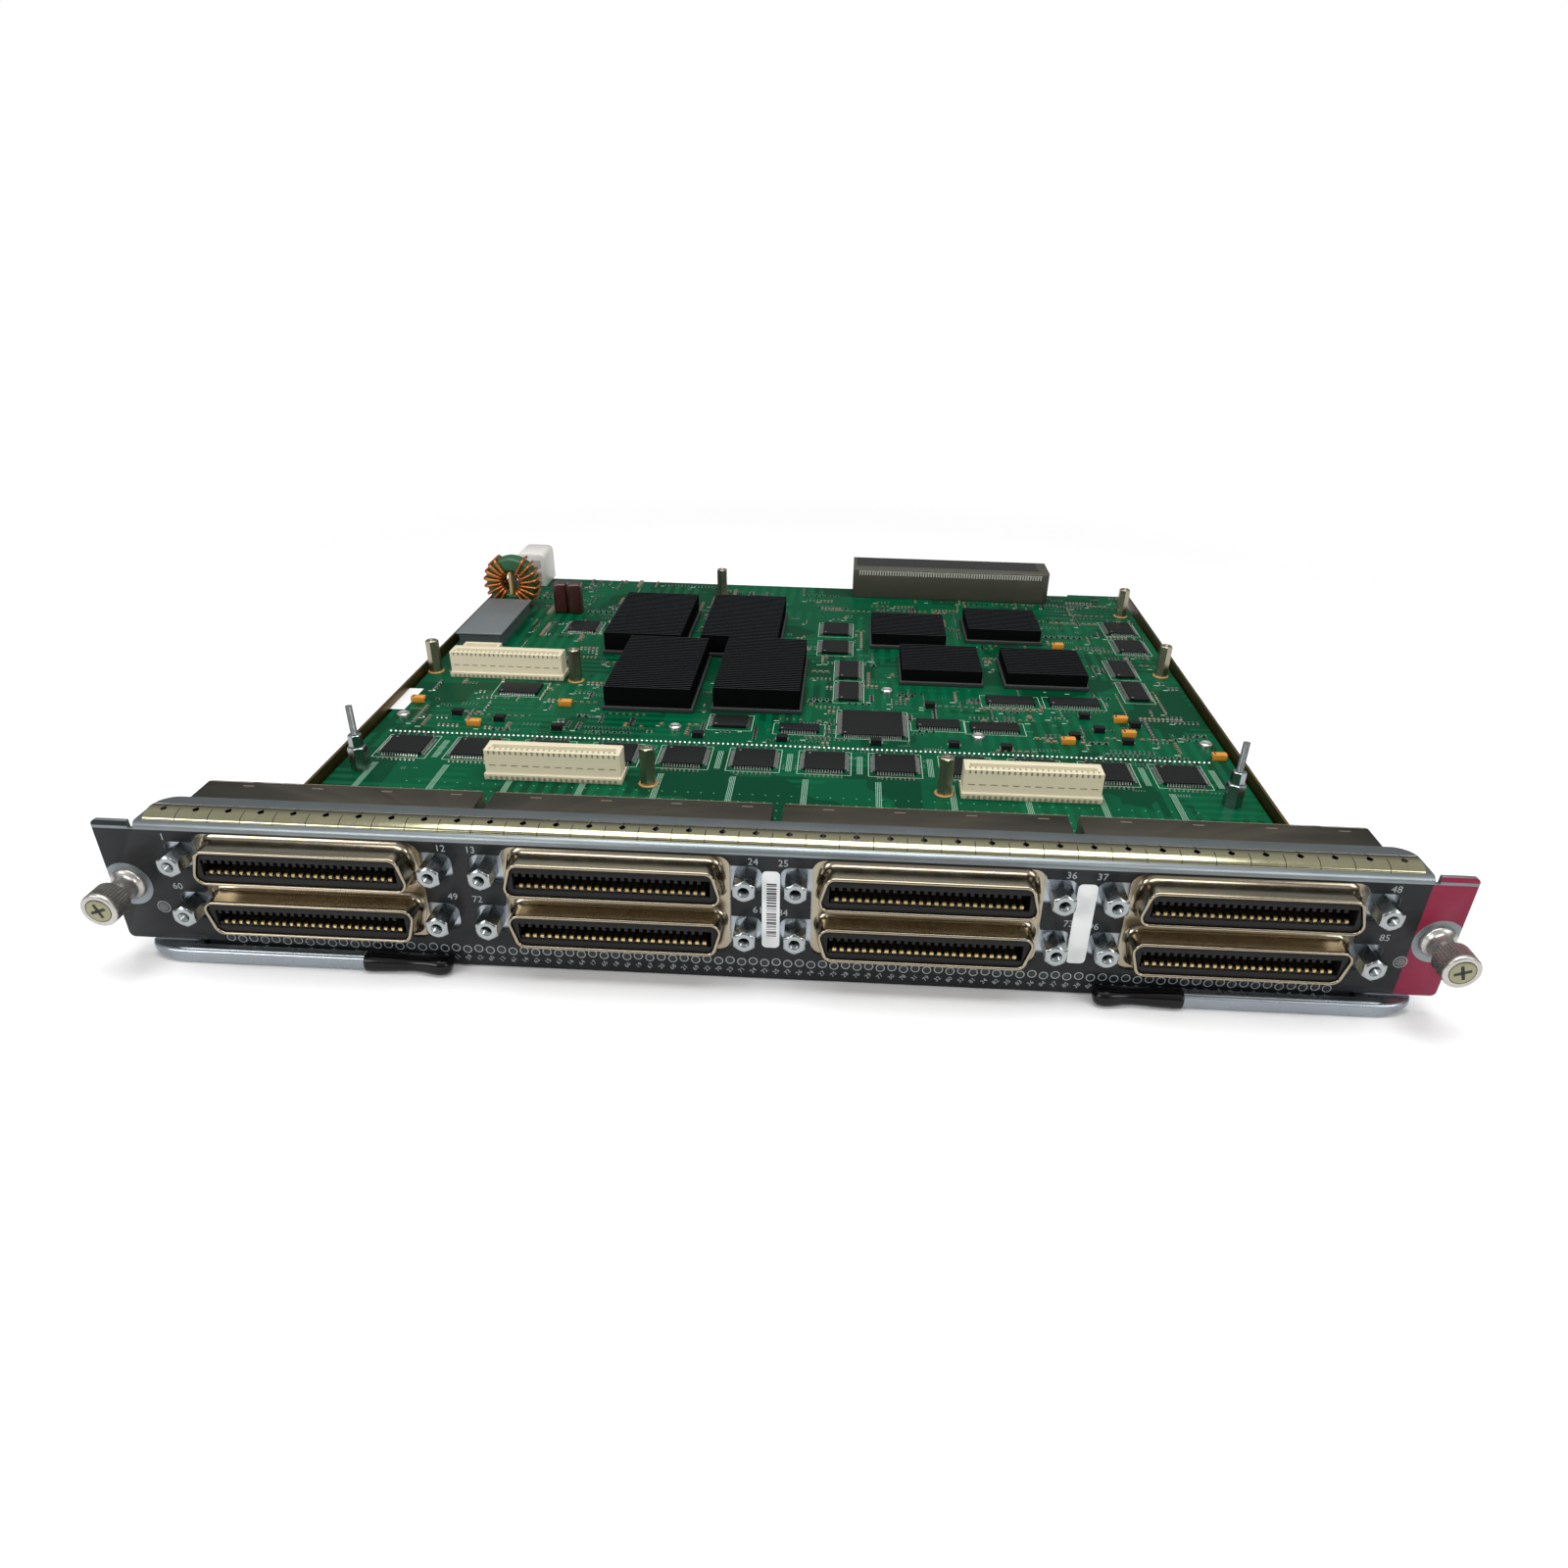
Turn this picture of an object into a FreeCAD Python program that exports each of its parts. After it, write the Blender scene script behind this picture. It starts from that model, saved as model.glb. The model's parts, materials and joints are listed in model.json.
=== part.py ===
import FreeCAD, Part
import Sketcher
import math
import os
import re

# Switch line card: a faceplate with four stacked pairs of 50-way sockets, ejector levers and captive
# screws, and a carrier tray with the main board.  X runs along the faceplate, Y from its front face to
# the backplane, Z up from the surface that the tray rests on.  The origin is the middle of the
# faceplate's front, on that surface.

doc = FreeCAD.newDocument("line_card")
sheet = doc.addObject("Spreadsheet::Sheet", "sizes")

# name, value in millimetres (counts and degrees as noted), meaning
SIZES = [
    ("face_width", 391.0, "faceplate, edge to edge"),
    ("face_sheet", 1.5, "faceplate sheet"),
    ("wing_width", 24.5, "each wing, from the faceplate's end to the deep middle"),
    ("centre_bottom", 0.6, "bottom edge of the deep middle"),
    ("wing_bottom", 5.4, "bottom edge of the wings"),
    ("wing_rise", 0.2, "top edge of the wings above the flange"),
    ("wing_corner", 1.6, "corner radius of the wings"),
    ("notch_inset", 10.7, "outer sides of the two notches, from the faceplate's ends"),
    ("notch_below", 0.1, "bottom of the notches below the flange's bend"),
    ("flange_inset", 12.1, "ends of the folded top flange, from the faceplate's ends"),
    ("flange_top", 45.4, "top of the folded flange"),
    ("flange_rear", 16.8, "rear edge of the flange"),
    ("flange_corner", 6.0, "rear corner radius of the flange"),
    ("bend_outer", 2.0, "outer bend radius"),
    ("bend_inner", 0.5, "inner bend radius"),
    ("column_pitch", 89.5, "socket stack to socket stack"),
    ("row_high", 35.0, "centre height of the upper sockets"),
    ("row_pitch", 17.0, "upper sockets to lower sockets"),
    ("window_side", 1.45, "socket window beside the shell"),
    ("window_below", 2.5, "socket window below the lower shell"),
    ("window_over", 1.7, "socket window over the upper shell"),
    ("window_corner", 4.0, "corner radius of the window"),
    ("jack_spacing", 74.93, "jackscrew to jackscrew across a socket"),
    ("ear_side", 4.7, "faceplate's opening outside a jackscrew's centre"),
    ("ear_half", 4.5, "half height of that opening"),
    ("ear_corner", 3.0, "corner radius of that opening"),
    ("jack_flats", 6.35, "jackscrew hexagon across flats"),
    ("jack_reach", 7.0, "jackscrew tip in front of the faceplate"),
    ("jack_bore", 1.42, "radius of the jackscrew's threaded bore"),
    ("jack_bore_depth", 6.5, "depth of that bore"),
    ("plate_sheet", 1.0, "backing plate sheet"),
    ("plate_inset", 15.5, "ends of the backing plate, from the faceplate's ends"),
    ("plate_lap", 2.6, "backing plate below the windows"),
    ("plate_drop", 0.9, "top of the backing plate below the cans' tops"),
    ("shell_wide", 63.5, "socket shell, width of its wide side"),
    ("shell_slant", 2.8, "how far each end of the shell leans in"),
    ("shell_height", 11.4, "socket shell height"),
    ("shell_wall", 0.8, "socket shell rim thickness"),
    ("shell_reach", 7.0, "shell rim in front of the faceplate"),
    ("shell_corner", 3.2, "corner radius of the shell"),
    ("shell_plate", 0.8, "plate that carries the two shells"),
    ("seat_gap", 0.3, "clearance between separate fixed pieces"),
    ("housing_reach", 6.2, "front of the socket moulding"),
    ("housing_side", 0.25, "moulding wider than the shell, each side"),
    ("housing_rear", 30.0, "rear of the moulding"),
    ("housing_gap", 0.4, "moulding below the can's sheet"),
    ("slot_width", 56.0, "contact slot, width"),
    ("slot_height", 5.2, "contact slot, height"),
    ("slot_depth", 9.0, "contact slot, depth"),
    ("contact_pitch", 2.159, "contact to contact"),
    ("contact_width", 1.1, "contact width"),
    ("contact_thick", 0.4, "contact thickness"),
    ("contact_count", 25, "contacts in a row"),
    ("can_spacing", 3.1, "gap between shield cans"),
    ("can_rear", 31.5, "shield can rear"),
    ("can_gap", 0.4, "can below the flange"),
    ("can_sheet", 0.5, "shield can sheet"),
    ("can_tab_pitch", 18.6, "pitch of the clip tabs on a can's rear edge"),
    ("finger_pitch", 9.525, "spring finger pitch"),
    ("finger_count", 38, "spring fingers in the strip"),
    ("finger_front", 1.6, "front edge of the strip on the flange"),
    ("finger_span", 9.2, "strip width, front to rear"),
    ("finger_rise", 2.0, "height of the fingers' arch"),
    ("finger_sheet", 0.35, "strip thickness"),
    ("finger_slit", 0.45, "slit between fingers"),
    ("finger_hole", 0.9, "radius of the hole at a rear slit's end"),
    ("tray_inset", 11.5, "tray's sides, from the faceplate's ends"),
    ("tray_sheet", 1.2, "tray sheet"),
    ("tray_front", 1.5, "front edge of the tray"),
    ("tray_rear", 384.0, "rear edge of the tray"),
    ("tray_wall", 10.2, "height of the tray's side walls"),
    ("tray_lip", 4.6, "height of the front and rear lips"),
    ("tray_bend", 1.0, "outer bend radius of the tray"),
    ("corner_relief", 4.0, "corner reliefs for the levers, inside the faceplate's deep middle"),
    ("corner_relief_y", 20.0, "how far back the corner reliefs reach"),
    ("board_side_gap", 2.8, "board's sides inside the tray's"),
    ("board_front", 3.2, "front edge of the board"),
    ("board_overhang", 4.0, "board's rear edge behind the tray"),
    ("board_step_x", 150.0, "where the rear edge steps back"),
    ("board_step", 3.0, "depth of that step"),
    ("board_under", 5.0, "underside of the board"),
    ("board_thick", 1.6, "board thickness"),
    ("standoff_radius", 3.0, "clinched standoff radius"),
    ("board_screw_head", 3.0, "board screw head radius"),
    ("board_screw_rise", 2.0, "board screw head height"),
    ("pivot_inset", 18.5, "lever pivots, from the faceplate's ends"),
    ("pivot_y", 9.0, "lever pivot behind the face"),
    ("lever_sheet", 1.2, "lever sheet"),
    ("lever_top", 4.6, "top of the lever's flat"),
    ("lever_front", 4.8, "front of the lever before the face"),
    ("lever_gap", 1.0, "gap between lever bar and faceplate"),
    ("lever_low", 0.4, "bottom edge of the lever's skirt"),
    ("tip_inset", 6.9, "outer ends of the levers, from the faceplate's ends"),
    ("tip_round", 5.3, "radius of the lever's outer end"),
    ("arm_gap", 1.6, "lever arm outside the faceplate's deep middle"),
    ("lever_eye", 7.4, "radius of the lever round its pivot"),
    ("skirt_past_pivot", 1.0, "full-depth skirt outside the pivot"),
    ("bar_length", 77.0, "lever bar, from the pivot to its inner end"),
    ("grip_overlap", 21.4, "length of the bar inside the dipped grip"),
    ("grip_tip", 4.6, "grip past the bar's end"),
    ("pivot_shank", 2.0, "pivot rivet shank radius"),
    ("pivot_clear", 0.06, "running clearance at the pivot"),
    ("pivot_collar", 4.0, "pivot rivet collar radius"),
    ("pivot_head", 3.4, "pivot rivet head radius"),
    ("pivot_head_rise", 0.8, "pivot rivet head height"),
    ("thumb_inset", 5.2, "captive screws, from the faceplate's ends"),
    ("thumb_z", 24.4, "captive screw height"),
    ("ferrule_flange", 5.1, "ferrule flange radius"),
    ("ferrule_flange_thick", 0.9, "ferrule flange thickness"),
    ("ferrule_barrel", 3.8, "ferrule barrel radius"),
    ("ferrule_reach", 7.0, "ferrule barrel in front of the face"),
    ("ferrule_rear", 3.0, "rear end of the ferrule"),
    ("ferrule_bore", 3.05, "ferrule bore radius"),
    ("ferrule_lip", 1.0, "lip at the front of the ferrule's bore"),
    ("screw_shank", 1.5, "captive screw shank radius"),
    ("screw_thread", 1.75, "captive screw thread radius"),
    ("screw_set", 0.75, "screw tip in front of the face when drawn back"),
    ("screw_groove", 1.1, "radius at the bottom of the ring groove"),
    ("lip_clear", 0.85, "clearance of the captive screw in its ferrule's lip"),
    ("ring_clear", 0.1, "clearance of the retaining ring in its groove"),
    ("knob_clear", 0.65, "clearance of the knob over the ferrule"),
    ("thread_start", 0.6, "start of the thread behind the retaining ring"),
    ("ring_radius", 2.7, "retaining ring radius"),
    ("ring_thick", 0.8, "retaining ring thickness"),
    ("knob_radius", 5.25, "knob radius"),
    ("knob_length", 8.0, "knob, front to rear"),
    ("knob_gap", 0.2, "knob's rear in front of the ferrule"),
    ("knob_cavity", 5.6, "depth of the knob's cavity over the ferrule"),
    ("knob_rim", 0.8, "chamfer of the knob's front"),
    ("knurl_depth", 0.45, "knurl depth"),
    ("knurl_count", 26, "knurl grooves"),
    ("head_radius", 3.6, "screw head disc radius"),
    ("head_thick", 1.2, "screw head disc thickness"),
    ("sink_large_x", 39.0, "large heat sink width"),
    ("sink_large_y", 69.0, "large heat sink depth"),
    ("sink_large_fins", 20, "fins on a large heat sink"),
    ("sink_large_top", 17.8, "top of the large heat sinks"),
    ("sink_small_x", 38.4, "small heat sink width"),
    ("sink_small_y", 35.6, "small heat sink depth"),
    ("sink_small_fins", 11, "fins on a small heat sink"),
    ("sink_small_top", 14.6, "top of the small heat sinks"),
    ("sink_base", 2.4, "heat sink base thickness"),
    ("fin_thick", 1.3, "heat sink fin thickness"),
    ("package_rise", 2.0, "height of the chip packages under the sinks"),
    ("package_margin", 0.9, "how far a package stands out round its sink"),
    ("link_length", 53.0, "daughter connector length"),
    ("link_depth", 9.6, "daughter connector depth"),
    ("link_rise", 12.2, "daughter connector height"),
    ("link_foot", 1.0, "how far its foot stands forward"),
    ("link_foot_rise", 2.6, "top of its foot above the board"),
    ("coupler_length", 18.0, "small open connector behind the first one, length"),
    ("coupler_depth", 13.0, "its depth"),
    ("coupler_rise", 9.0, "its height"),
    ("coupler_wall", 1.6, "its wall"),
    ("post_flats", 5.5, "post hexagon across flats"),
    ("post_rise", 15.6, "post height above the board"),
    ("stud_nut_flats", 4.8, "upper hexagon of a stud post"),
    ("stud_low_rise", 9.6, "lower hexagon of a stud post"),
    ("stud_radius", 1.4, "stud radius"),
    ("stud_rise", 26.4, "stud top above the board"),
    ("port_chip", 16.5, "port chip side"),
    ("port_chip_pitch", 28.8, "port chip pitch"),
    ("port_chip_y", 141.0, "port chip row"),
    ("port_chip_count", 12, "port chips"),
    ("chip_rise", 1.5, "chip height"),
    ("back_left", 21.0, "backplane connector, left end"),
    ("back_length", 114.0, "backplane connector length"),
    ("back_seat", 17.0, "backplane connector's front inside the board's rear edge"),
    ("back_overhang", 9.0, "backplane connector's rear behind the board"),
    ("back_top", 23.4, "backplane connector top"),
    ("power_inset", 4.2, "power connector inside the board's side"),
    ("power_width", 16.5, "power connector width"),
    ("power_seat", 17.0, "power connector's front inside the board's rear edge"),
    ("power_depth", 22.0, "power connector depth"),
    ("power_top", 25.6, "power connector top"),
    ("power_round", 3.0, "power connector edge radius"),
    ("module_inset", 2.2, "power module inside the board's side"),
    ("module_width", 23.4, "power module width"),
    ("module_front", 262.0, "power module front"),
    ("module_depth", 58.4, "power module depth"),
    ("module_top", 14.2, "power module top"),
    ("module_plate", 1.2, "power module metal plate"),
    ("toroid_inset", 12.6, "toroid's centre inside the board's side"),
    ("toroid_y", 333.0, "toroid centre"),
    ("toroid_outer", 13.6, "toroid core outer radius"),
    ("toroid_inner", 7.0, "toroid core inner radius"),
    ("toroid_width", 10.0, "toroid core width"),
    ("wire", 1.5, "winding wire"),
    ("turn_step", 15.0, "degrees from turn to turn"),
    ("turn_count", 9, "turns on each half of the toroid"),
]
NAMES = set()
S = {}
for row, (name, size, meaning) in enumerate(SIZES, start=1):
    sheet.set("A%d" % row, name)
    sheet.set("B%d" % row, repr(size))
    sheet.set("C%d" % row, meaning)
    sheet.setAlias("B%d" % row, name)
    NAMES.add(name)
    S[name] = size
doc.recompute()

# name, share of another size, and what is added to it or taken off
LAYOUT = [
    ("centre_half", 0.5, "face_width", -1, "wing_width"),
    ("notch_half", 0.5, "face_width", -1, "notch_inset"),
    ("flange_half", 0.5, "face_width", -1, "flange_inset"),
    ("plate_half", 0.5, "face_width", -1, "plate_inset"),
    ("tray_half", 0.5, "face_width", -1, "tray_inset"),
    ("pivot_x", 0.5, "face_width", -1, "pivot_inset"),
    ("thumb_x", 0.5, "face_width", -1, "thumb_inset"),
    ("lever_tip", 0.5, "face_width", -1, "tip_inset"),
    ("board_half", 1, "tray_half", -1, "board_side_gap"),
    ("corner_relief_x", 1, "centre_half", -1, "corner_relief"),
    ("lever_arm_in", 1, "centre_half", 1, "arm_gap"),
    ("lever_skirt_start", 1, "pivot_x", 1, "skirt_past_pivot"),
    ("lever_bar_end", 1, "pivot_x", -1, "bar_length"),
    ("grip_start", 1, "lever_bar_end", 1, "grip_overlap"),
    ("grip_end", 1, "lever_bar_end", -1, "grip_tip"),
    ("wing_top", 1, "flange_top", 1, "wing_rise"),
    ("bend_start", 1, "flange_top", -1, "bend_outer"),
    ("notch_bottom", 1, "bend_start", -1, "notch_below"),
    ("can_over", 1, "flange_top", -1, "face_sheet"),
    ("can_top", 1, "can_over", -1, "can_gap"),
    ("can_under", 1, "can_top", -1, "can_sheet"),
    ("housing_top", 1, "can_under", -1, "housing_gap"),
    ("plate_top", 1, "can_top", -1, "plate_drop"),
    ("can_width", 1, "column_pitch", -1, "can_spacing"),
    ("row_low", 1, "row_high", -1, "row_pitch"),
    ("window_half", 0.5, "shell_wide", 1, "window_side"),
    ("shell_plate_half", 1, "window_half", -1, "seat_gap"),
    ("housing_half", 0.5, "shell_wide", 1, "housing_side"),
    ("shell_over", 0.5, "shell_height", 1, "row_high"),
    ("window_top", 1, "shell_over", 1, "window_over"),
    ("shell_below", -0.5, "shell_height", 1, "row_low"),
    ("window_bottom", 1, "shell_below", -1, "window_below"),
    ("plate_bottom", 1, "window_bottom", -1, "plate_lap"),
    ("ear_reach", 0.5, "jack_spacing", 1, "ear_side"),
    ("knob_rear", 1, "ferrule_reach", 1, "knob_gap"),
    ("knob_front", 1, "knob_rear", 1, "knob_length"),
    ("board_rear", 1, "tray_rear", 1, "board_overhang"),
    ("back_front", 1, "board_rear", -1, "back_seat"),
    ("back_rear", 1, "board_rear", 1, "back_overhang"),
    ("power_front", 1, "board_rear", -1, "power_seat"),
    ("power_x", -1, "board_half", 1, "power_inset"),
    ("module_x", -1, "board_half", 1, "module_inset"),
    ("toroid_x", -1, "board_half", 1, "toroid_inset"),
]
DERIVED = {}
for name, share, base, sign, extra in LAYOUT:
    DERIVED[name] = "(%g * %s %s %s)" % (share, base, "+" if sign > 0 else "-", extra)
    S[name] = share * S[base] + sign * S[extra]

BOARD_TOP = "(board_under + board_thick)"
PLANES = {"XY": ("XY_Plane", 1), "XZ": ("XZ_Plane", -1), "YZ": ("YZ_Plane", 1)}
COLUMNS = (-1.5, -0.5, 0.5, 1.5)
parts = []


def formula(text):
    """Write size names as references to the sheet, and laid-out ones as what they come from."""
    def written(match):
        word = match.group(0)
        if word in DERIVED:
            return formula(DERIVED[word])
        return "sizes." + word if word in NAMES else word
    return re.sub(r"[a-z][a-z_0-9]*", written, str(text))


def bind(thing, prop, text):
    thing.setExpression(prop, formula(text))


def place(thing, x, y, z):
    bind(thing, "Placement.Base.x", x)
    bind(thing, "Placement.Base.y", y)
    bind(thing, "Placement.Base.z", z)
    return thing


def keep(thing, label):
    """Name a finished sub-part; its label is also its file's name."""
    thing.Label = label
    parts.append(thing)
    return thing


def block(name, x, y, z, width, depth, rise):
    box = doc.addObject("Part::Box", name)
    bind(box, "Length", width)
    bind(box, "Width", depth)
    bind(box, "Height", rise)
    return place(box, x, y, z)


TURNS = {"Z": FreeCAD.Rotation(), "X": FreeCAD.Rotation(FreeCAD.Vector(0, 1, 0), 90),
         "Y": FreeCAD.Rotation(FreeCAD.Vector(1, 0, 0), -90)}


def rod(name, x, y, z, radius, length, axis="Z"):
    cylinder = doc.addObject("Part::Cylinder", name)
    cylinder.Placement.Rotation = TURNS[axis]
    bind(cylinder, "Radius", radius)
    bind(cylinder, "Height", length)
    return place(cylinder, x, y, z)


def hexagon(name, x, y, z, flats, length, axis="Z"):
    prism = doc.addObject("Part::Prism", name)
    prism.Polygon = 6
    prism.Placement.Rotation = TURNS[axis]
    bind(prism, "Circumradius", "(%s) / 2 / cos(30)" % flats)
    bind(prism, "Height", length)
    return place(prism, x, y, z)


def fuse(name, things):
    joined = doc.addObject("Part::MultiFuse", name)
    joined.Shapes = things
    joined.Refine = True
    return joined


def cut(name, base, tool):
    result = doc.addObject("Part::Cut", name)
    result.Base = base
    result.Tool = tool
    result.Refine = True
    return result


def group(name, things):
    """Several separate solids in one sub-part."""
    bundle = doc.addObject("Part::Compound", name)
    bundle.Links = things
    return bundle


def copies(name, original, places):
    """Copies of one piece, each at its own place."""
    made = []
    for number, (x, y, z) in enumerate(places, start=1):
        link = doc.addObject("App::Link", "%s_%d" % (name, number))
        link.LinkedObject = original
        link.LinkTransform = True
        made.append(place(link, x, y, z))
    return made


def mirrored(name, original):
    """The right-hand piece of a left-hand one."""
    result = doc.addObject("Part::Mirroring", name)
    result.Source = original
    result.Base = FreeCAD.Vector(0, 0, 0)
    result.Normal = FreeCAD.Vector(1, 0, 0)
    return result


def new_body(name):
    return doc.addObject("PartDesign::Body", name)


def new_sketch(body, plane, name, at):
    role, facing = PLANES[plane]
    sketch = body.newObject("Sketcher::SketchObject", name)
    origin_plane = [item for item in body.Origin.OriginFeatures if item.Role == role][0]
    sketch.AttachmentSupport = [(origin_plane, "")]
    sketch.MapMode = "FlatFace"
    bind(sketch, "AttachmentOffset.Base.z", "%d * (%s)" % (facing, at))
    return sketch


def fix(sketch, kind, where, first_value, text):
    """Add a constraint on a size given as a formula."""
    number = sketch.addConstraint(Sketcher.Constraint(kind, *where, first_value))
    bind(sketch, "Constraints[%d]" % number, text)


def outline(sketch, points):
    """A closed run of straight sides through points given as formulas."""
    first = sketch.GeometryCount
    count = len(points)
    spots = [FreeCAD.Vector(number + 1, (number + 1) ** 2, 0) for number in range(count)]
    for number in range(count):
        sketch.addGeometry(Part.LineSegment(spots[number], spots[(number + 1) % count]), False)
    for number in range(count):
        following = first + (number + 1) % count
        sketch.addConstraint(Sketcher.Constraint("Coincident", first + number, 2, following, 1))
    for number, (across, up) in enumerate(points):
        fix(sketch, "DistanceX", (-1, 1, first + number, 1), spots[number].x, across)
        fix(sketch, "DistanceY", (-1, 1, first + number, 1), spots[number].y, up)


def circle(sketch, across, up, radius):
    number = sketch.addGeometry(Part.Circle(FreeCAD.Vector(1, 1, 0), FreeCAD.Vector(0, 0, 1), 1), False)
    fix(sketch, "DistanceX", (-1, 1, number, 3), 1, across)
    fix(sketch, "DistanceY", (-1, 1, number, 3), 1, up)
    fix(sketch, "Radius", (number,), 1, radius)


def pad(body, plane, name, shapes, at, length):
    """Extrude outlines from the given place towards the positive axis."""
    sketch = new_sketch(body, plane, name + "_sketch", at)
    for shape in shapes:
        draw(sketch, shape)
    feature = body.newObject("PartDesign::Pad", name)
    feature.Profile = sketch
    feature.Reversed = PLANES[plane][1] < 0
    bind(feature, "Length", length)
    doc.recompute()
    return feature


def pocket(body, plane, name, shapes, at="0"):
    """Cut outlines right through the body."""
    before = body.Shape.Volume
    sketch = new_sketch(body, plane, name + "_sketch", at)
    for shape in shapes:
        draw(sketch, shape)
    feature = body.newObject("PartDesign::Pocket", name)
    feature.Profile = sketch
    feature.Type = "ThroughAll"
    feature.Midplane = True
    doc.recompute()
    if not body.Shape.Volume < before:
        raise RuntimeError(name + " cuts nothing")
    return feature


def draw(sketch, shape):
    if shape[0] == "circle":
        circle(sketch, *shape[1:])
    else:
        outline(sketch, shape)


def rectangle(left, low, right, high):
    return [(left, low), (right, low), (right, high), (left, high)]


def round_edges(body, feature, name, run, spots, radius):
    """Fillet the straight edges that run along an axis through the given places."""
    axis = {"X": 0, "Y": 1, "Z": 2}[run]
    picked = []
    for number, edge in enumerate(feature.Shape.Edges, start=1):
        ends = [vertex.Point for vertex in edge.Vertexes]
        if len(ends) != 2 or edge.Curve.TypeId != "Part::GeomLine":
            continue
        along = ends[1] - ends[0]
        if abs(abs(along[axis]) - along.Length) > 1e-6:
            continue
        for spot in spots:
            gap = ends[0] - FreeCAD.Vector(*spot)
            gap[axis] = 0
            if gap.Length < 1e-4:
                picked.append("Edge%d" % number)
                break
    if not picked:
        raise RuntimeError(name + " finds no edge")
    rounding = body.newObject("PartDesign::Fillet", name)
    rounding.Base = (feature, picked)
    bind(rounding, "Radius", radius)
    doc.recompute()
    return rounding


def turned(name, profile, x, z):
    """A piece turned about Y: a profile of radius and distance along the axis."""
    body = new_body(name)
    sketch = new_sketch(body, "XY", name + "_profile", "0")
    outline(sketch, profile)
    feature = body.newObject("PartDesign::Revolution", name + "_turning")
    feature.Profile = sketch
    feature.ReferenceAxis = (sketch, ["V_Axis"])
    place(body, x, "0", z)
    doc.recompute()
    return body


# ---- faceplate -------------------------------------------------------------------------------------
face = new_body("faceplate_body")
face_front = pad(face, "XZ", "face_front", [[
    ("-face_width / 2", "wing_bottom"), ("-centre_half", "wing_bottom"),
    ("-centre_half", "centre_bottom"), ("centre_half", "centre_bottom"),
    ("centre_half", "wing_bottom"), ("face_width / 2", "wing_bottom"),
    ("face_width / 2", "wing_top"), ("notch_half", "wing_top"),
    ("notch_half", "notch_bottom"), ("flange_half", "notch_bottom"),
    ("flange_half", "flange_top"), ("-flange_half", "flange_top"),
    ("-flange_half", "notch_bottom"), ("-notch_half", "notch_bottom"),
    ("-notch_half", "wing_top"), ("-face_width / 2", "wing_top")]], "0", "face_sheet")
face_flange = pad(face, "XY", "face_flange", [rectangle("-flange_half", "0", "flange_half", "flange_rear")],
                  "flange_top - face_sheet", "face_sheet")
outer_bend = round_edges(face, face_flange, "outer_bend", "X", [(0, 0, S["flange_top"])], "bend_outer")
inner_bend = round_edges(face, outer_bend, "inner_bend", "X",
                         [(0, S["face_sheet"], S["flange_top"] - S["face_sheet"])], "bend_inner")
flange_ends = round_edges(face, inner_bend, "flange_ends", "Z",
                          [(side * S["flange_half"], S["flange_rear"], 0) for side in (-1, 1)],
                          "flange_corner")
wing_spots = []
for side in (-1, 1):
    for height in (S["wing_bottom"], S["wing_top"]):
        wing_spots.append((side * S["face_width"] / 2, 0, height))
wing_corners = round_edges(face, flange_ends, "wing_corners", "Y", wing_spots, "wing_corner")
windows = []
ears = []
window_spots = []
ear_spots = []
for column in COLUMNS:
    middle = "%g * column_pitch" % column
    windows.append(rectangle(middle + " - window_half", "window_bottom", middle + " + window_half",
                             "window_top"))
    for side in (-1, 1):
        for row in ("row_high", "row_low"):
            edges = [middle + " + %d * (window_half - 1)" % side, middle + " + %d * ear_reach" % side]
            ears.append(rectangle(edges[side < 0], row + " - ear_half", edges[side > 0],
                                  row + " + ear_half"))
            for rise in (-1, 1):
                ear_spots.append((column * S["column_pitch"] + side * S["ear_reach"], 0,
                                  S[row] + rise * S["ear_half"]))
        for height in (S["window_bottom"], S["window_top"]):
            window_spots.append((column * S["column_pitch"] + side * S["window_half"], 0, height))
face_windows = pocket(face, "XZ", "socket_windows", windows)
window_rounds = round_edges(face, face_windows, "window_rounds", "Y", window_spots, "window_corner")
face_ears = pocket(face, "XZ", "jackscrew_openings", ears)
ear_rounds = round_edges(face, face_ears, "ear_rounds", "Y", ear_spots, "ear_corner")
pocket(face, "XZ", "ferrule_holes", [("circle", "%d * thumb_x" % side, "thumb_z", "ferrule_barrel + 0.05")
                                     for side in (-1, 1)])
keep(face, "faceplate")

# ---- spring fingers on the flange: arches slit from the front and, between, from the rear ----------
ARCH_STEPS = 6
ARCH = [(0.0, 0.0)]
for number in range(ARCH_STEPS + 1):
    turn_part = math.pi * number / ARCH_STEPS
    ARCH.append((0.5 - 0.42 * math.cos(turn_part), math.sin(turn_part)))
ARCH.append((1.0, 0.0))
arch = new_body("finger_arch")
arch_points = []
for along, up in ARCH:
    arch_points.append(("finger_front + %g * finger_span" % along,
                        "flange_top + %g * (finger_rise - finger_sheet)" % up))
for along, up in reversed(ARCH):
    arch_points.append(("finger_front + %g * finger_span" % along,
                        "flange_top + finger_sheet + %g * (finger_rise - finger_sheet)" % up))
pad(arch, "YZ", "arch_run", [arch_points], "-finger_count / 2 * finger_pitch", "finger_count * finger_pitch")
slit = block("slit_tool", "0", "0", "0", "finger_slit", "finger_span * 0.56", "finger_rise + 2")
hole = hexagon("hole_tool", "0", "0", "0", "2 * finger_hole", "finger_rise + 2")
count = int(S["finger_count"])
front_slits = copies("front_slit", slit, [
    ("(%d - finger_count / 2) * finger_pitch - finger_slit / 2" % number,
     "finger_front - 0.1", "flange_top - 1") for number in range(1, count)])
rear_slits = copies("rear_slit", slit, [
    ("(%g - finger_count / 2) * finger_pitch - finger_slit / 2" % (number + 0.5),
     "finger_front + finger_span * 0.52", "flange_top - 1") for number in range(count)])
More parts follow.
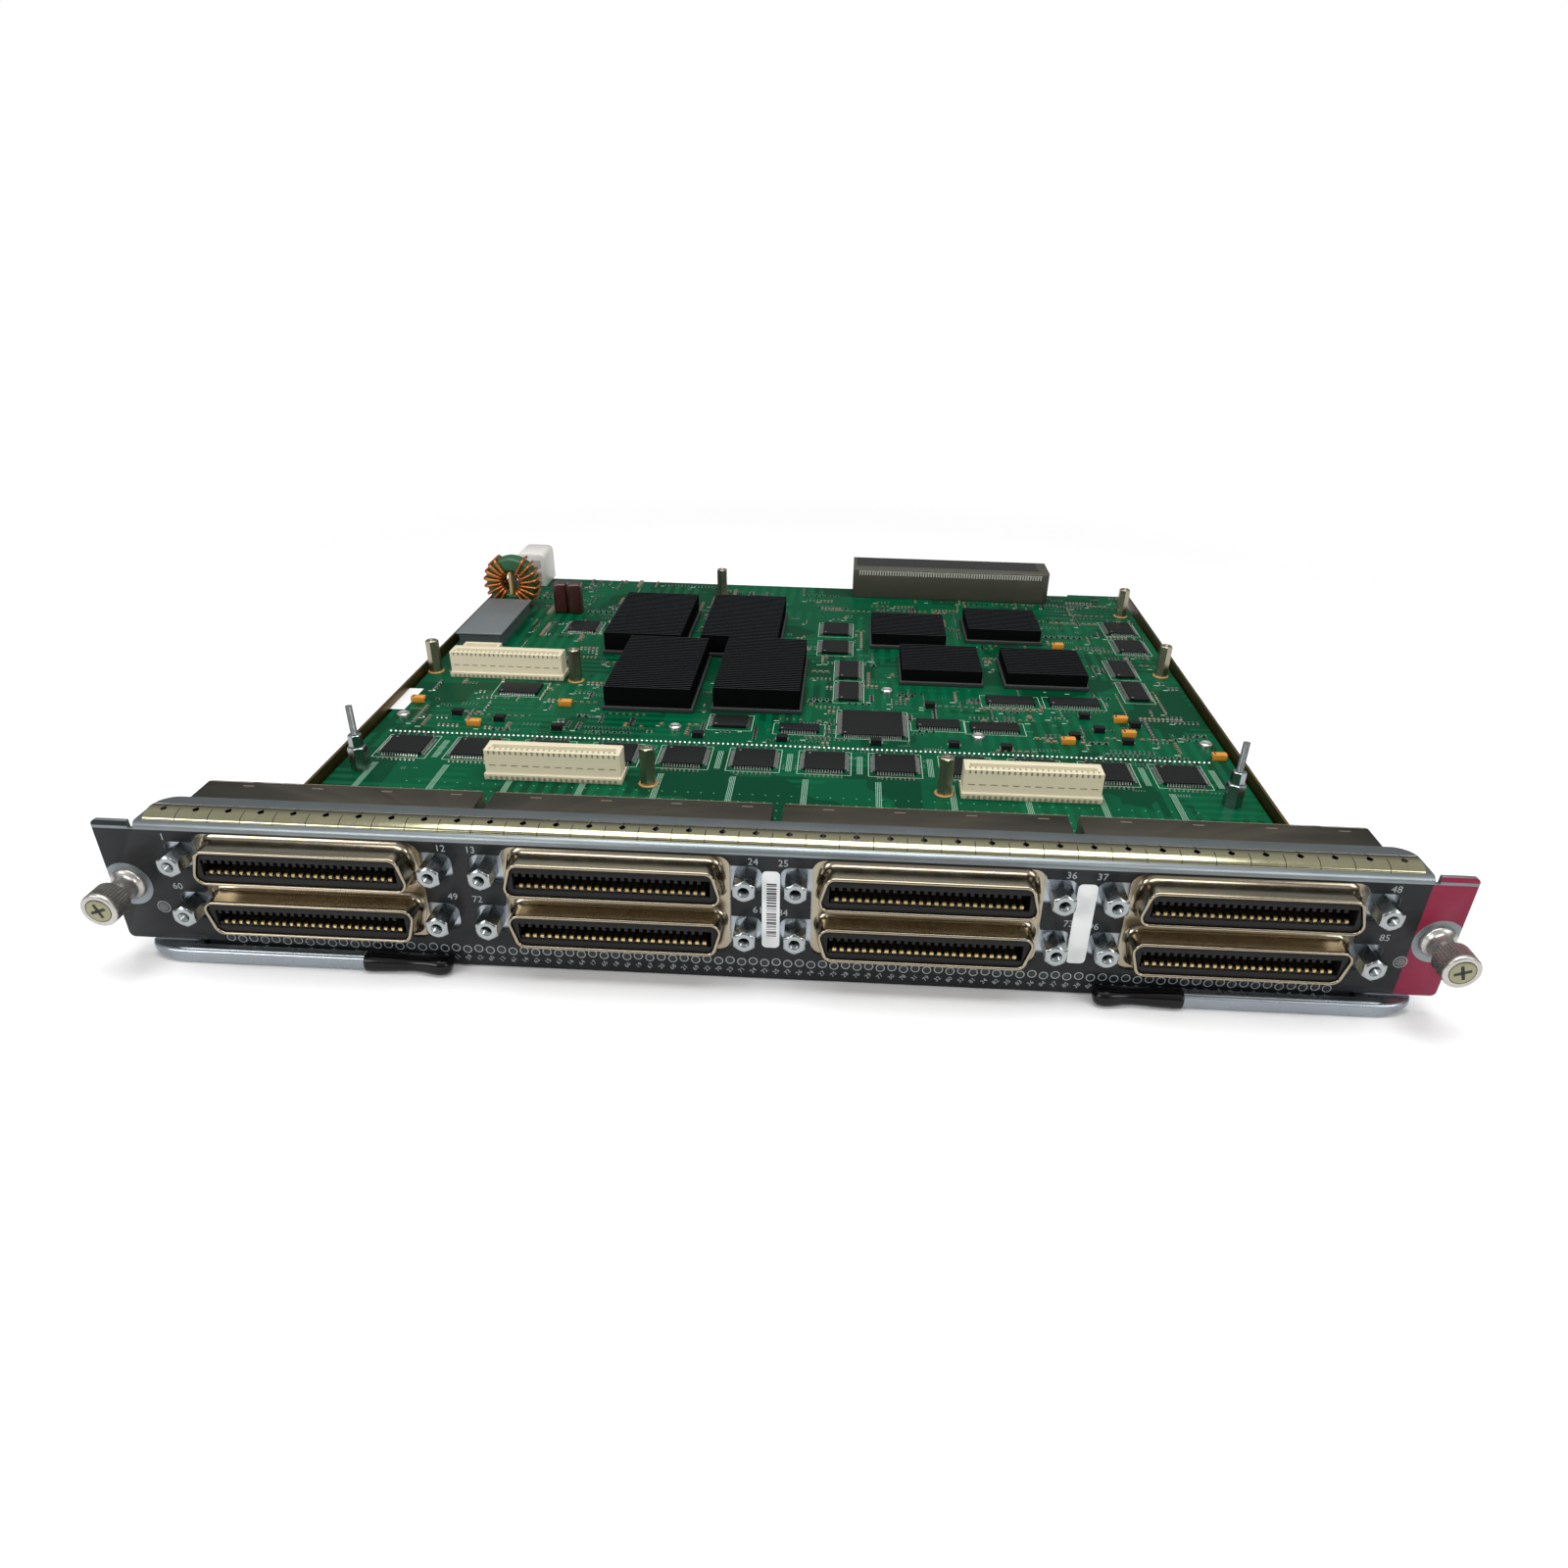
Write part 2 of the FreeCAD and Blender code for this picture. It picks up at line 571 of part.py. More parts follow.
rear_holes = copies("rear_hole", hole, [
    ("(%g - finger_count / 2) * finger_pitch" % (number + 0.5),
     "finger_front + finger_span * 0.52", "flange_top - 1") for number in range(count)])
fingers = cut("fingers_front", arch, group("front_slits", front_slits))
fingers = cut("fingers_rear", fingers, group("rear_slits", rear_slits))
fingers = cut("fingers_holes", fingers, group("rear_holes", rear_holes))
keep(fingers, "emi_finger_strip")

# ---- board screws, their standoffs and the carrier tray --------------------------------------------
SCREWS = [(-53.8, 169.2), (38.6, 221.0), (77.0, 171.4), (-173.7, 171.5), (174.2, 172.5)]
tray = new_body("tray_body")
floor = pad(tray, "XY", "tray_floor", [rectangle("-tray_half", "tray_front", "tray_half", "tray_rear")],
            "0", "tray_sheet")
for side in (-1, 1):
    near = "%d * tray_half" % side
    far = "%d * (tray_half - tray_sheet)" % side
    left, right = (near, far) if side < 0 else (far, near)
    wall = pad(tray, "XY", "tray_wall_%d" % (side + 2),
               [rectangle(left, "tray_front + corner_relief_y + 10", right, "tray_rear")], "0", "tray_wall")
lip = pad(tray, "XY", "tray_front_lip", [rectangle("-corner_relief_x + 6", "tray_front", "corner_relief_x - 6",
                                                   "tray_front + tray_sheet")], "0", "tray_lip")
lip = pad(tray, "XY", "tray_rear_lip", [rectangle("-tray_half + 8", "tray_rear - tray_sheet", "tray_half - 8",
                                                  "tray_rear")], "0", "tray_lip")
bends = round_edges(tray, lip, "tray_bends", "Y",
                    [(side * S["tray_half"], 0, 0) for side in (-1, 1)], "tray_bend")
pocket(tray, "XY", "tray_pivot_holes", [("circle", "%d * pivot_x" % side, "pivot_y", "pivot_shank + 0.05")
                                        for side in (-1, 1)])
keep(tray, "carrier_tray")

standoff = hexagon("standoff", "0", "0", "tray_sheet", "2 * standoff_radius", "board_under - tray_sheet")
keep(group("standoffs", copies("standoff_at", standoff, [("%g" % x, "%g" % y, "0") for x, y in SCREWS])),
     "board_standoffs")

board = new_body("board_body")
board_sheet = pad(board, "XY", "board_sheet", [[
    ("-corner_relief_x", "board_front"), ("corner_relief_x", "board_front"),
    ("corner_relief_x", "corner_relief_y"), ("board_half", "corner_relief_y"),
    ("board_half", "board_rear + board_step"), ("board_step_x", "board_rear + board_step"),
    ("board_step_x", "board_rear"), ("-board_half", "board_rear"),
    ("-board_half", "corner_relief_y"), ("-corner_relief_x", "corner_relief_y")]],
    "board_under", "board_thick")
keep(board, "main_board")

board_screw = rod("board_screw", "0", "0", BOARD_TOP, "board_screw_head", "board_screw_rise")
keep(group("screws", copies("board_screw_at", board_screw, [("%g" % x, "%g" % y, "0") for x, y in SCREWS])),
     "board_screws")

# ---- backing plate and jackscrews ------------------------------------------------------------------
backing = new_body("backing_body")
pad(backing, "XZ", "backing_sheet", [rectangle("-plate_half", "plate_bottom", "plate_half", "plate_top")],
    "face_sheet", "plate_sheet")
passages = []
jack_places = []
for column in COLUMNS:
    middle = "%g * column_pitch" % column
    passages.append(rectangle(middle + " - housing_half + 1", "row_low - shell_height / 2 + 0.4",
                              middle + " + housing_half - 1", "row_high + shell_height / 2 - 0.4"))
    for side in (-1, 1):
        for row in ("row_high", "row_low"):
            jack_places.append((middle + " + %d * jack_spacing / 2" % side, "0", row))
pocket(backing, "XZ", "nose_passages", passages)
keep(backing, "backing_plate")

jack_blank = hexagon("jack_hexagon", "0", "-jack_reach", "0", "jack_flats", "jack_reach + face_sheet", "Y")
jack_hole = rod("jack_hole", "0", "-jack_reach - 1", "0", "jack_bore", "jack_bore_depth + 1", "Y")
jack = cut("jackscrew", jack_blank, jack_hole)
keep(group("jacks", copies("jackscrew_at", jack, jack_places)), "jackscrews")


# ---- socket shells, mouldings and contacts ---------------------------------------------------------
def nose(row, wide_up, inset, narrower="0"):
    """Outline of one socket's front: wide on the side that faces the other socket."""
    half = "(shell_wide / 2 - (%s) - (%s))" % (inset, narrower)
    lean = "(%s - shell_slant)" % half
    low = "%s - shell_height / 2 + (%s)" % (row, inset)
    high = "%s + shell_height / 2 - (%s)" % (row, inset)
    if wide_up:
        return [("-" + lean, low), (lean, low), (half, high), ("-" + half, high)]
    return [("-" + half, low), (half, low), (lean, high), ("-" + lean, high)]


def slanted_rounds(body, feature, name, depth, radius):
    """Fillet every edge parallel to Y that spans a nose's full depth."""
    picked = []
    for number, edge in enumerate(feature.Shape.Edges, start=1):
        ends = [vertex.Point for vertex in edge.Vertexes]
        if len(ends) == 2 and abs(abs(ends[1].y - ends[0].y) - depth) < 1e-6 \
                and abs(abs(ends[1].y - ends[0].y) - edge.Length) < 1e-6:
            picked.append("Edge%d" % number)
    if not picked:
        raise RuntimeError(name + " finds no edge")
    rounding = body.newObject("PartDesign::Fillet", name)
    rounding.Base = (feature, picked)
    bind(rounding, "Radius", radius)
    doc.recompute()
    return rounding


def nose_solid(name, inset, front, rear, radius):
    """The two rounded noses of a stack, from one depth to another."""
    noses = []
    for row, wide_up in (("row_high", False), ("row_low", True)):
        body = new_body("%s_%s" % (name, row))
        feature = pad(body, "XZ", "%s_%s_pad" % (name, row), [nose(row, wide_up, inset)], front,
                      "(%s) - (%s)" % (rear, front))
        slanted_rounds(body, feature, "%s_%s_round" % (name, row), feature.Length.Value, radius)
        noses.append(body)
    return noses


shell_sheet = new_body("shell_sheet")
shell_pad = pad(shell_sheet, "XZ", "shell_sheet_pad", [rectangle(
    "-shell_plate_half", "window_bottom + seat_gap", "shell_plate_half", "window_top - seat_gap")],
    "face_sheet - shell_plate", "shell_plate")
sheet_spots = []
for side in (-1, 1):
    for height in (S["window_bottom"] + S["seat_gap"], S["window_top"] - S["seat_gap"]):
        sheet_spots.append((side * S["shell_plate_half"], 0, height))
round_edges(shell_sheet, shell_pad, "shell_sheet_rounds", "Y", sheet_spots, "window_corner - seat_gap")
shell_rims = nose_solid("shell_rim", "0", "-shell_reach", "face_sheet", "shell_corner")
shell_inner = nose_solid("shell_inner", "shell_wall", "-shell_reach - 1", "face_sheet + 1",
                         "shell_corner - shell_wall")
shell = cut("port_shell", fuse("shell_solid", [shell_sheet] + shell_rims),
            group("shell_openings", shell_inner))

housing_noses = nose_solid("housing_nose", "shell_wall + seat_gap", "-housing_reach",
                           "face_sheet + plate_sheet + 1", "shell_corner - shell_wall - seat_gap")
housing_block = block("housing_block", "-housing_half", "face_sheet + plate_sheet", BOARD_TOP,
                      "2 * housing_half", "housing_rear - face_sheet - plate_sheet",
                      "housing_top - board_under - board_thick")
slots = [block("slot_" + row, "-slot_width / 2", "-housing_reach - 1", row + " - slot_height / 2",
               "slot_width", "slot_depth + 1", "slot_height") for row in ("row_high", "row_low")]
housing = cut("port_housing", fuse("housing_solid", [housing_block] + housing_noses),
              group("slots", slots))

contact = block("contact", "0", "0", "0", "contact_width", "slot_depth - 0.4", "contact_thick")
contact_places = []
for row in ("row_high", "row_low"):
    for level in (row + " - slot_height / 2", row + " + slot_height / 2 - contact_thick"):
        for number in range(int(S["contact_count"])):
            contact_places.append(("(%d - (contact_count - 1) / 2) * contact_pitch - contact_width / 2"
                                   % number, "-housing_reach + 0.4", level))
contacts = group("port_contacts", copies("contact_at", contact, contact_places))

can_outside = block("can_outside", "-can_width / 2", "face_sheet + plate_sheet + seat_gap", BOARD_TOP,
                    "can_width", "can_rear - face_sheet - plate_sheet - seat_gap",
                    "can_top - board_under - board_thick")
can_inside = block("can_inside", "-can_width / 2 + can_sheet", "0", "0", "can_width - 2 * can_sheet",
                   "can_rear - can_sheet", "can_top - can_sheet")
can_tab = block("can_tab", "-1.4", "can_rear - 0.1", "can_top - 3.4", "2.8", "0.5", "3.4")
can_tabs = copies("can_tab_at", can_tab, [("%g * can_tab_pitch" % step, "0", "0")
                                          for step in (-1.5, -0.5, 0.5, 1.5)])
can = fuse("shield_can", [cut("can_box", can_outside, can_inside)] + can_tabs)

for number, column in enumerate(COLUMNS, start=1):
    middle = ("%g * column_pitch" % column, "0", "0")
    for piece in (shell, housing, contacts, can):
        label = "%s_%d" % (piece.Name, number)
        keep(group(label + "_set", copies(label + "_at", piece, [middle])), label)

# ---- ejector levers, grips and pivots --------------------------------------------------------------
lever = new_body("lever_body")
arm = pad(lever, "XY", "lever_flat", [[
    ("-lever_tip", "-lever_front"), ("-lever_bar_end", "-lever_front"), ("-lever_bar_end", "-lever_gap"),
    ("-lever_arm_in", "-lever_gap"), ("-lever_arm_in", "pivot_y"),
    ("-pivot_x - lever_eye", "pivot_y"), ("-lever_tip", "-lever_front + tip_round + 0.1")]],
    "lever_top - lever_sheet", "lever_sheet")
tip = round_edges(lever, arm, "lever_tip_round", "Z", [(-S["lever_tip"], -S["lever_front"], 0)], "tip_round")
eye = pad(lever, "XY", "lever_eye_pad", [("circle", "-pivot_x", "pivot_y", "lever_eye")],
          "lever_top - lever_sheet", "lever_sheet")
skirt = pad(lever, "XY", "lever_skirt", [rectangle("-lever_skirt_start", "-lever_front", "-lever_bar_end",
                                                   "-lever_front + lever_sheet")],
            "lever_low", "lever_top - lever_low")
skirt_end = round_edges(lever, skirt, "lever_skirt_end", "Y", [(-S["lever_skirt_start"], 0, S["lever_low"])],
                        "2.6")
pocket(lever, "XY", "lever_hole", [("circle", "-pivot_x", "pivot_y", "pivot_shank + pivot_clear")])
keep(lever, "lever_left")
keep(mirrored("lever_mirror", lever), "lever_right")

grip_body = new_body("grip_body")
grip_pad = pad(grip_body, "XY", "grip_pad", [[
    ("-grip_start", "-lever_front - 1.4"), ("-grip_end - 12.6", "-lever_front - 1.2"),
    ("-grip_end - 8.6", "-lever_front - 0.9"), ("-grip_end - 4.6", "-lever_front - 2.1"),
    ("-grip_end - 2", "-lever_front - 2.1"), ("-grip_end", "-lever_front - 0.4"),
    ("-grip_end", "-lever_gap - 1.2"), ("-grip_end - 2", "-lever_gap + 0.3"),
    ("-grip_start", "-lever_gap + 0.5")]],
    "lever_low - 0.3", "lever_top - lever_low + 1.2")
grip = cut("grip", grip_body, lever)
keep(grip, "grip_left")
keep(mirrored("grip_mirror", grip), "grip_right")

rivet = fuse("rivet", [
    rod("rivet_stem", "0", "0", "0.2", "pivot_shank", "lever_top"),
    rod("rivet_collar", "0", "0", "tray_sheet", "pivot_collar", "lever_top - lever_sheet - tray_sheet - 0.1"),
    rod("rivet_head", "0", "0", "lever_top + 0.1", "pivot_head", "pivot_head_rise")])
keep(group("rivets", copies("rivet_at", rivet, [("%d * pivot_x" % side, "pivot_y", "0") for side in (-1, 1)])),
     "lever_pivots")

# ---- captive screws: ferrule, retaining ring, screw and knob ---------------------------------------
ferrule = turned("ferrule", [
    ("screw_shank + lip_clear", "-ferrule_reach"), ("ferrule_barrel", "-ferrule_reach"),
    ("ferrule_barrel", "-ferrule_flange_thick"), ("ferrule_flange", "-ferrule_flange_thick"),
    ("ferrule_flange", "0"), ("ferrule_barrel", "0"), ("ferrule_barrel", "ferrule_rear"),
    ("ferrule_bore", "ferrule_rear"), ("ferrule_bore", "-ferrule_reach + ferrule_lip"),
    ("screw_shank + lip_clear", "-ferrule_reach + ferrule_lip")], "-thumb_x", "thumb_z")
RING_FRONT = "(-ferrule_reach + ferrule_lip + 0.3)"
THREAD_FRONT = RING_FRONT + " + ring_thick + thread_start"
ring = turned("ring", [
    ("screw_groove + ring_clear", RING_FRONT), ("ring_radius", RING_FRONT),
    ("ring_radius", RING_FRONT + " + ring_thick"),
    ("screw_groove + ring_clear", RING_FRONT + " + ring_thick")], "-thumb_x", "thumb_z")
screw = turned("captive", [
    ("0", "-knob_front"), ("head_radius", "-knob_front"), ("head_radius", "-knob_front + head_thick"),
    ("screw_shank", "-knob_front + head_thick"), ("screw_shank", RING_FRONT + " - 0.1"),
    ("screw_groove", RING_FRONT + " - 0.1"), ("screw_groove", RING_FRONT + " + ring_thick + 0.1"),
    ("screw_shank", RING_FRONT + " + ring_thick + 0.1"), ("screw_shank", THREAD_FRONT),
    ("screw_thread", THREAD_FRONT), ("screw_thread", "-screw_set - 0.6"),
    ("screw_shank - 0.5", "-screw_set"), ("0", "-screw_set")], "-thumb_x", "thumb_z")
knob = turned("knob", [
    ("screw_shank + 0.05", "-knob_front + head_thick"), ("head_radius + 0.05", "-knob_front + head_thick"),
    ("head_radius + 0.05", "-knob_front + 0.1"), ("knob_radius - knob_rim", "-knob_front + 0.1"),
    ("knob_radius", "-knob_front + knob_rim"), ("knob_radius", "-knob_rear - 0.3"),
    ("knob_radius - 0.3", "-knob_rear"), ("ferrule_barrel + knob_clear", "-knob_rear"),
    ("ferrule_barrel + knob_clear", "-knob_rear - knob_cavity"),
    ("screw_shank + 0.05", "-knob_rear - knob_cavity")], "-thumb_x", "thumb_z")
groove = doc.addObject("Part::Prism", "knurl_groove")
groove.Polygon = 4
groove.Placement.Rotation = TURNS["Y"]
bind(groove, "Circumradius", "knurl_depth")
bind(groove, "Height", "knob_front - knob_rear")
grooves = []
for number in range(int(S["knurl_count"])):
    angle = "(%d * 360 / knurl_count)" % number
    grooves += copies("groove_%d" % number, groove, [
        ("-thumb_x + knob_radius * cos(%s)" % angle, "-knob_front", "thumb_z + knob_radius * sin(%s)" % angle)])
    grooves[-1].Placement.Rotation = FreeCAD.Rotation(FreeCAD.Vector(0, 1, 0),
                                                      -number * 360.0 / S["knurl_count"]).multiply(TURNS["Y"])
knob = cut("knob_knurled", knob, group("knurl", grooves))
for piece, label in ((ferrule, "ferrule"), (ring, "retaining_ring"), (screw, "captive_screw"),
                     (knob, "thumb_knob")):
    keep(piece, label + "_left")
    keep(mirrored(label + "_mirror", piece), label + "_right")


# ---- heat sinks on their packages ------------------------------------------------------------------
def heat_sink(name, width, depth, fins, top):
    """A base with fins that run across it; its corner is the origin."""
    bottom = BOARD_TOP + " + package_rise"
    blank = block(name + "_blank", "0", "0", bottom, width, depth, "%s - (%s)" % (top, bottom))
    gap = "((%s - fin_thick) / (%s - 1) - fin_thick)" % (depth, fins)
    channel = block(name + "_channel", "-1", "0", bottom + " + sink_base", width + " + 2", gap, top)
    channels = copies(name + "_channel_at", channel, [
        ("0", "fin_thick + %d * (%s + fin_thick)" % (number, gap), "0")
        for number in range(int(S[fins]) - 1)])
    return cut(name, blank, group(name + "_channels", channels))


large_sink = heat_sink("sink_large", "sink_large_x", "sink_large_y", "sink_large_fins", "sink_large_top")
small_sink = heat_sink("sink_small", "sink_small_x", "sink_small_y", "sink_small_fins", "sink_small_top")
SINKS = [("large", large_sink, [(-103.0, 260.0), (-54.6, 261.6), (-88.4, 187.6), (-40.0, 191.0)]),
         ("small", small_sink, [(31.6, 283.0), (82.2, 296.4), (45.6, 232.4), (95.6, 232.6)])]
packages = []
for kind, piece, corners in SINKS:
    for number, (x, y) in enumerate(corners, start=1):
        label = "heat_sink_%s_%d" % (kind, number)
        keep(group(label + "_set", copies(label + "_at", piece, [("%g" % x, "%g" % y, "0")])), label)
        packages.append(block("package_%s_%d" % (kind, number), "%g - package_margin" % x,
                              "%g - package_margin" % y, BOARD_TOP,
                              "sink_%s_x + 2 * package_margin" % kind,
                              "sink_%s_y + 2 * package_margin" % kind, "package_rise"))
keep(group("packages", packages), "chip_packages")

# ---- daughter-card connectors ----------------------------------------------------------------------
LINKS = [(-168.2, 221.0), (-119.8, 114.2), (65.8, 114.2)]
link_block = block("link_block", "0", "0", BOARD_TOP, "link_length", "link_depth", "link_rise")
link_foot = block("link_foot_block", "-0.6", "-link_foot", BOARD_TOP, "link_length + 1.2",
                  "link_depth + 2 * link_foot", "link_foot_rise")
link_slot = block("link_slot", "2.2", "link_depth / 2 - 1.6", BOARD_TOP + " + 4", "link_length - 4.4", "3.2",
                  "link_rise")
link = cut("daughter_connector", fuse("link_solid", [link_block, link_foot]), link_slot)
for number, (x, y) in enumerate(LINKS, start=1):
    label = "daughter_connector_%d" % number
    blocks = copies(label + "_at", link, [("%g" % x, "%g" % y, "0")])
    if number == 1:
        coupler = block("coupler_blank", "%g" % x, "%g + link_depth + link_foot + 0.6" % y, BOARD_TOP,
                        "coupler_length", "coupler_depth", "coupler_rise")
        coupler_well = block("coupler_well", "%g + coupler_wall" % x,
                             "%g + link_depth + link_foot + 0.6 + coupler_wall" % y, BOARD_TOP + " + 2",
                             "coupler_length - 2 * coupler_wall", "coupler_depth - 2 * coupler_wall",
                             "coupler_rise")
        blocks.append(cut("coupler", coupler, coupler_well))
    keep(group(label + "_set", blocks), label)

# ---- posts -----------------------------------------------------------------------------------------
POSTS = [(59.0, 117.5), (-56.3, 115.5), (174.7, 257.3), (173.9, 352.3), (-178.0, 226.9), (-108.9, 221.6),
         (-55.0, 365.0)]
STUDS = [(-171.6, 119.0), (169.5, 117.4)]
post = cut("post", hexagon("post_hexagon", "0", "0", BOARD_TOP, "post_flats", "post_rise"), rod(
    "post_bore", "0", "0", BOARD_TOP + " + post_rise - 6", "1.35", "7"))
stud_post = fuse("stud_post", [
    hexagon("stud_low", "0", "0", BOARD_TOP, "post_flats + 1", "stud_low_rise"),
    hexagon("stud_high", "0", "0", BOARD_TOP, "stud_nut_flats", "post_rise - 1"),
    rod("stud_stem", "0", "0", BOARD_TOP, "stud_radius", "stud_rise")])
keep(group("posts", copies("post_at", post, [("%g" % x, "%g" % y, "0") for x, y in POSTS])),
     "standoff_posts")
keep(group("stud_group", copies("stud_at", stud_post, [("%g" % x, "%g" % y, "0") for x, y in STUDS])),
     "stud_posts")

# ---- chips and small capacitors --------------------------------------------------------------------
port_chip_master = block("port_chip_block", "-port_chip / 2", "port_chip_y - port_chip / 2", BOARD_TOP,
                         "port_chip", "port_chip", "chip_rise")
keep(group("port_chips", copies("port_chip_at", port_chip_master, [
    ("(%g) * port_chip_pitch - 2.6" % (number - 5.5), "0", "0")
    for number in range(int(S["port_chip_count"]))])), "port_chips")

# left, right, front, rear
CHIPS = [(18.3, 44.8, 168.6, 195.1), (6.1, 19.5, 300.5, 318.6), (6.3, 19.7, 271.4, 289.5),
         (15.8, 25.0, 236.9, 258.9), (16.1, 25.3, 208.5, 230.5), (161.2, 174.9, 318.5, 336.1),
         (161.2, 174.9, 288.9, 306.5), (151.8, 161.0, 251.6, 273.6), (152.3, 161.5, 221.7, 243.7),
         (84.6, 106.8, 210.6, 219.6), (113.8, 136.8, 211.4, 220.4), (51.0, 70.0, 180.0, 188.6),
         (74.6, 96.0, 178.6, 187.2), (-38.0, -23.4, 172.6, 184.6), (-9.0, 8.4, 170.6, 177.6),
         (-140.6, -122.4, 201.4, 213.6), (-129.5, -114.9, 291.6, 306.2)]
chips = [block("chip_%d" % number, "%g" % left, "%g" % front, BOARD_TOP, "%g" % (right - left),
               "%g" % (rear - front), "chip_rise") for number, (left, right, front, rear) in enumerate(CHIPS, 1)]
keep(group("chip_group", chips), "logic_chips")

TANTALUMS = [(-173.0, 188.6), (-140.4, 165.0), (-106.7, 190.6), (115.2, 170.0), (142.5, 196.0),
             (143.0, 180.0), (176.3, 159.7), (129.2, 293.0)]
tantalum = block("tantalum", "-3", "-1.6", BOARD_TOP, "6", "3.2", "2.8")
keep(group("tantalums", copies("tantalum_at", tantalum, [("%g" % x, "%g" % y, "0") for x, y in TANTALUMS])),
     "tantalum_capacitors")
film = block("film", "0", "0", BOARD_TOP, "7", "8", "16.4")
keep(group("films", copies("film_at", film, [("-143.5", "321", "0"), ("-135.6", "321", "0")])),
     "film_capacitors")

# ---- power parts -----------------------------------------------------------------------------------
module = fuse("module", [
    block("module_case", "module_x + 1", "module_front + 1", BOARD_TOP, "module_width - 2", "module_depth - 2",
          "module_top - module_plate - board_under - board_thick"),
    block("module_cover", "module_x", "module_front", "module_top - module_plate", "module_width",
          "module_depth", "module_plate")])
keep(module, "power_module")

TOROID_Z = "(" + BOARD_TOP + " + toroid_outer + seat_gap)"
core = cut("core", rod("core_outside", "toroid_x", "toroid_y - toroid_width / 2", TOROID_Z, "toroid_outer",
                       "toroid_width", "Y"),
           rod("core_hole", "toroid_x", "toroid_y - toroid_width", TOROID_Z, "toroid_inner",
               "2 * toroid_width", "Y"))
keep(core, "toroid_core")
turn_outside = block("turn_outside", "toroid_inner - wire - 0.15", "-toroid_width / 2 - wire - 0.15",
                     "-wire / 2", "toroid_outer - toroid_inner + 2 * wire + 0.3",
                     "toroid_width + 2 * wire + 0.3", "wire")
turn_inside = block("turn_inside", "toroid_inner - 0.15", "-toroid_width / 2 - 0.15", "-wire",
                    "toroid_outer - toroid_inner + 0.3", "toroid_width + 0.3", "2 * wire")
turn = cut("turn", turn_outside, turn_inside)
turns = []
for half in (0, 180):
    for number in range(int(S["turn_count"])):
        steps = number - (S["turn_count"] - 1) / 2
        made = copies("turn_%d_%d" % (half, number), turn, [("toroid_x", "toroid_y", TOROID_Z)])
        made[0].Placement.Rotation = FreeCAD.Rotation(FreeCAD.Vector(0, -1, 0),
                                                      half + steps * S["turn_step"])
        turns += made
for side in (-1, 1):
    turns.append(rod("lead_%d" % (side + 2), "toroid_x + %d * (toroid_outer - 2)" % side,
                     "toroid_y - toroid_width / 2 - wire", BOARD_TOP, "wire / 2", "4"))
keep(group("winding", turns), "toroid_winding")

power = new_body("power_body")
power_pad = pad(power, "XZ", "power_pad", [rectangle("power_x", BOARD_TOP, "power_x + power_width",
                                                     "power_top")], "power_front", "power_depth")
round_edges(power, power_pad, "power_rounds", "Y",
            [(S["power_x"], 0, S["power_top"]), (S["power_x"] + S["power_width"], 0, S["power_top"])],
            "power_round")
keep(power, "power_connector")

back = new_body("back_body")
back_pad = pad(back, "XY", "back_pad", [rectangle("back_left", "back_front", "back_left + back_length",
                                                  "back_rear")], BOARD_TOP,
               "back_top - board_under - board_thick")
round_edges(back, back_pad, "back_rounds", "Z", [(S["back_left"] + S["back_length"], S["back_front"], 0)],
            "4")
keep(back, "backplane_connector")

# ---- check and export ------------------------------------------------------------------------------
doc.recompute()
for thing in doc.Objects:
    if "Invalid" in thing.State or "Error" in " ".join(thing.State):
        raise RuntimeError("%s does not compute: %s" % (thing.Label, thing.State))
os.makedirs("parts", exist_ok=True)
for thing in parts:
    shape = thing.Shape
    if shape.isNull() or not shape.isValid() or not shape.Solids:
        raise RuntimeError(thing.Label + " has no valid solid")
    shape.exportStep("parts/%s.step" % thing.Label)
print("%d sub-parts" % len(parts))
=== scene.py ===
import json
import math
import random

import bpy
import bmesh
import numpy as np
from bpy.props import FloatProperty, FloatVectorProperty, IntProperty, PointerProperty
from mathutils import Matrix, Vector


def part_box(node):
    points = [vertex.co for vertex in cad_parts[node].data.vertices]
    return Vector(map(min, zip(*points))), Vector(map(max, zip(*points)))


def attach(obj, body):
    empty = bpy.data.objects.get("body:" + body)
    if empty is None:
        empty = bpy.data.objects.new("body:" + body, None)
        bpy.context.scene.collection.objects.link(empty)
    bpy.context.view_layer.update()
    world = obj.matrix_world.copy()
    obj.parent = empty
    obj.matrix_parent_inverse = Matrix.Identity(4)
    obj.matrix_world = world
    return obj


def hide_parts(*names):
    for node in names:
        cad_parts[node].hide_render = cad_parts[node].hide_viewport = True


bl_info = {
    "name": "Switch line card",
    "version": (1, 0, 0),
    "blender": (4, 5, 0),
    "location": "3D View > Sidebar > Line card",
    "description": "Dresses the line card's frame with its pieces and finishes",
    "category": "Object",
}

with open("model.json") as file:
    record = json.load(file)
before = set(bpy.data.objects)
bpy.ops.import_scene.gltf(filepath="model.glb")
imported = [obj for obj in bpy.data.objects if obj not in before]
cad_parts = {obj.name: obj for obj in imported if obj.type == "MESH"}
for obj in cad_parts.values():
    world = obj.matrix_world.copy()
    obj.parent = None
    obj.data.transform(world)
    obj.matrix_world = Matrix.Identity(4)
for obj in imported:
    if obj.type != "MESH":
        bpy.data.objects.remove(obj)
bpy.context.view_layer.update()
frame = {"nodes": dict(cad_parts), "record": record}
NODES = frame["nodes"]
MM = 0.001
CARD = "card"
SIDES = {"left": -1, "right": 1}


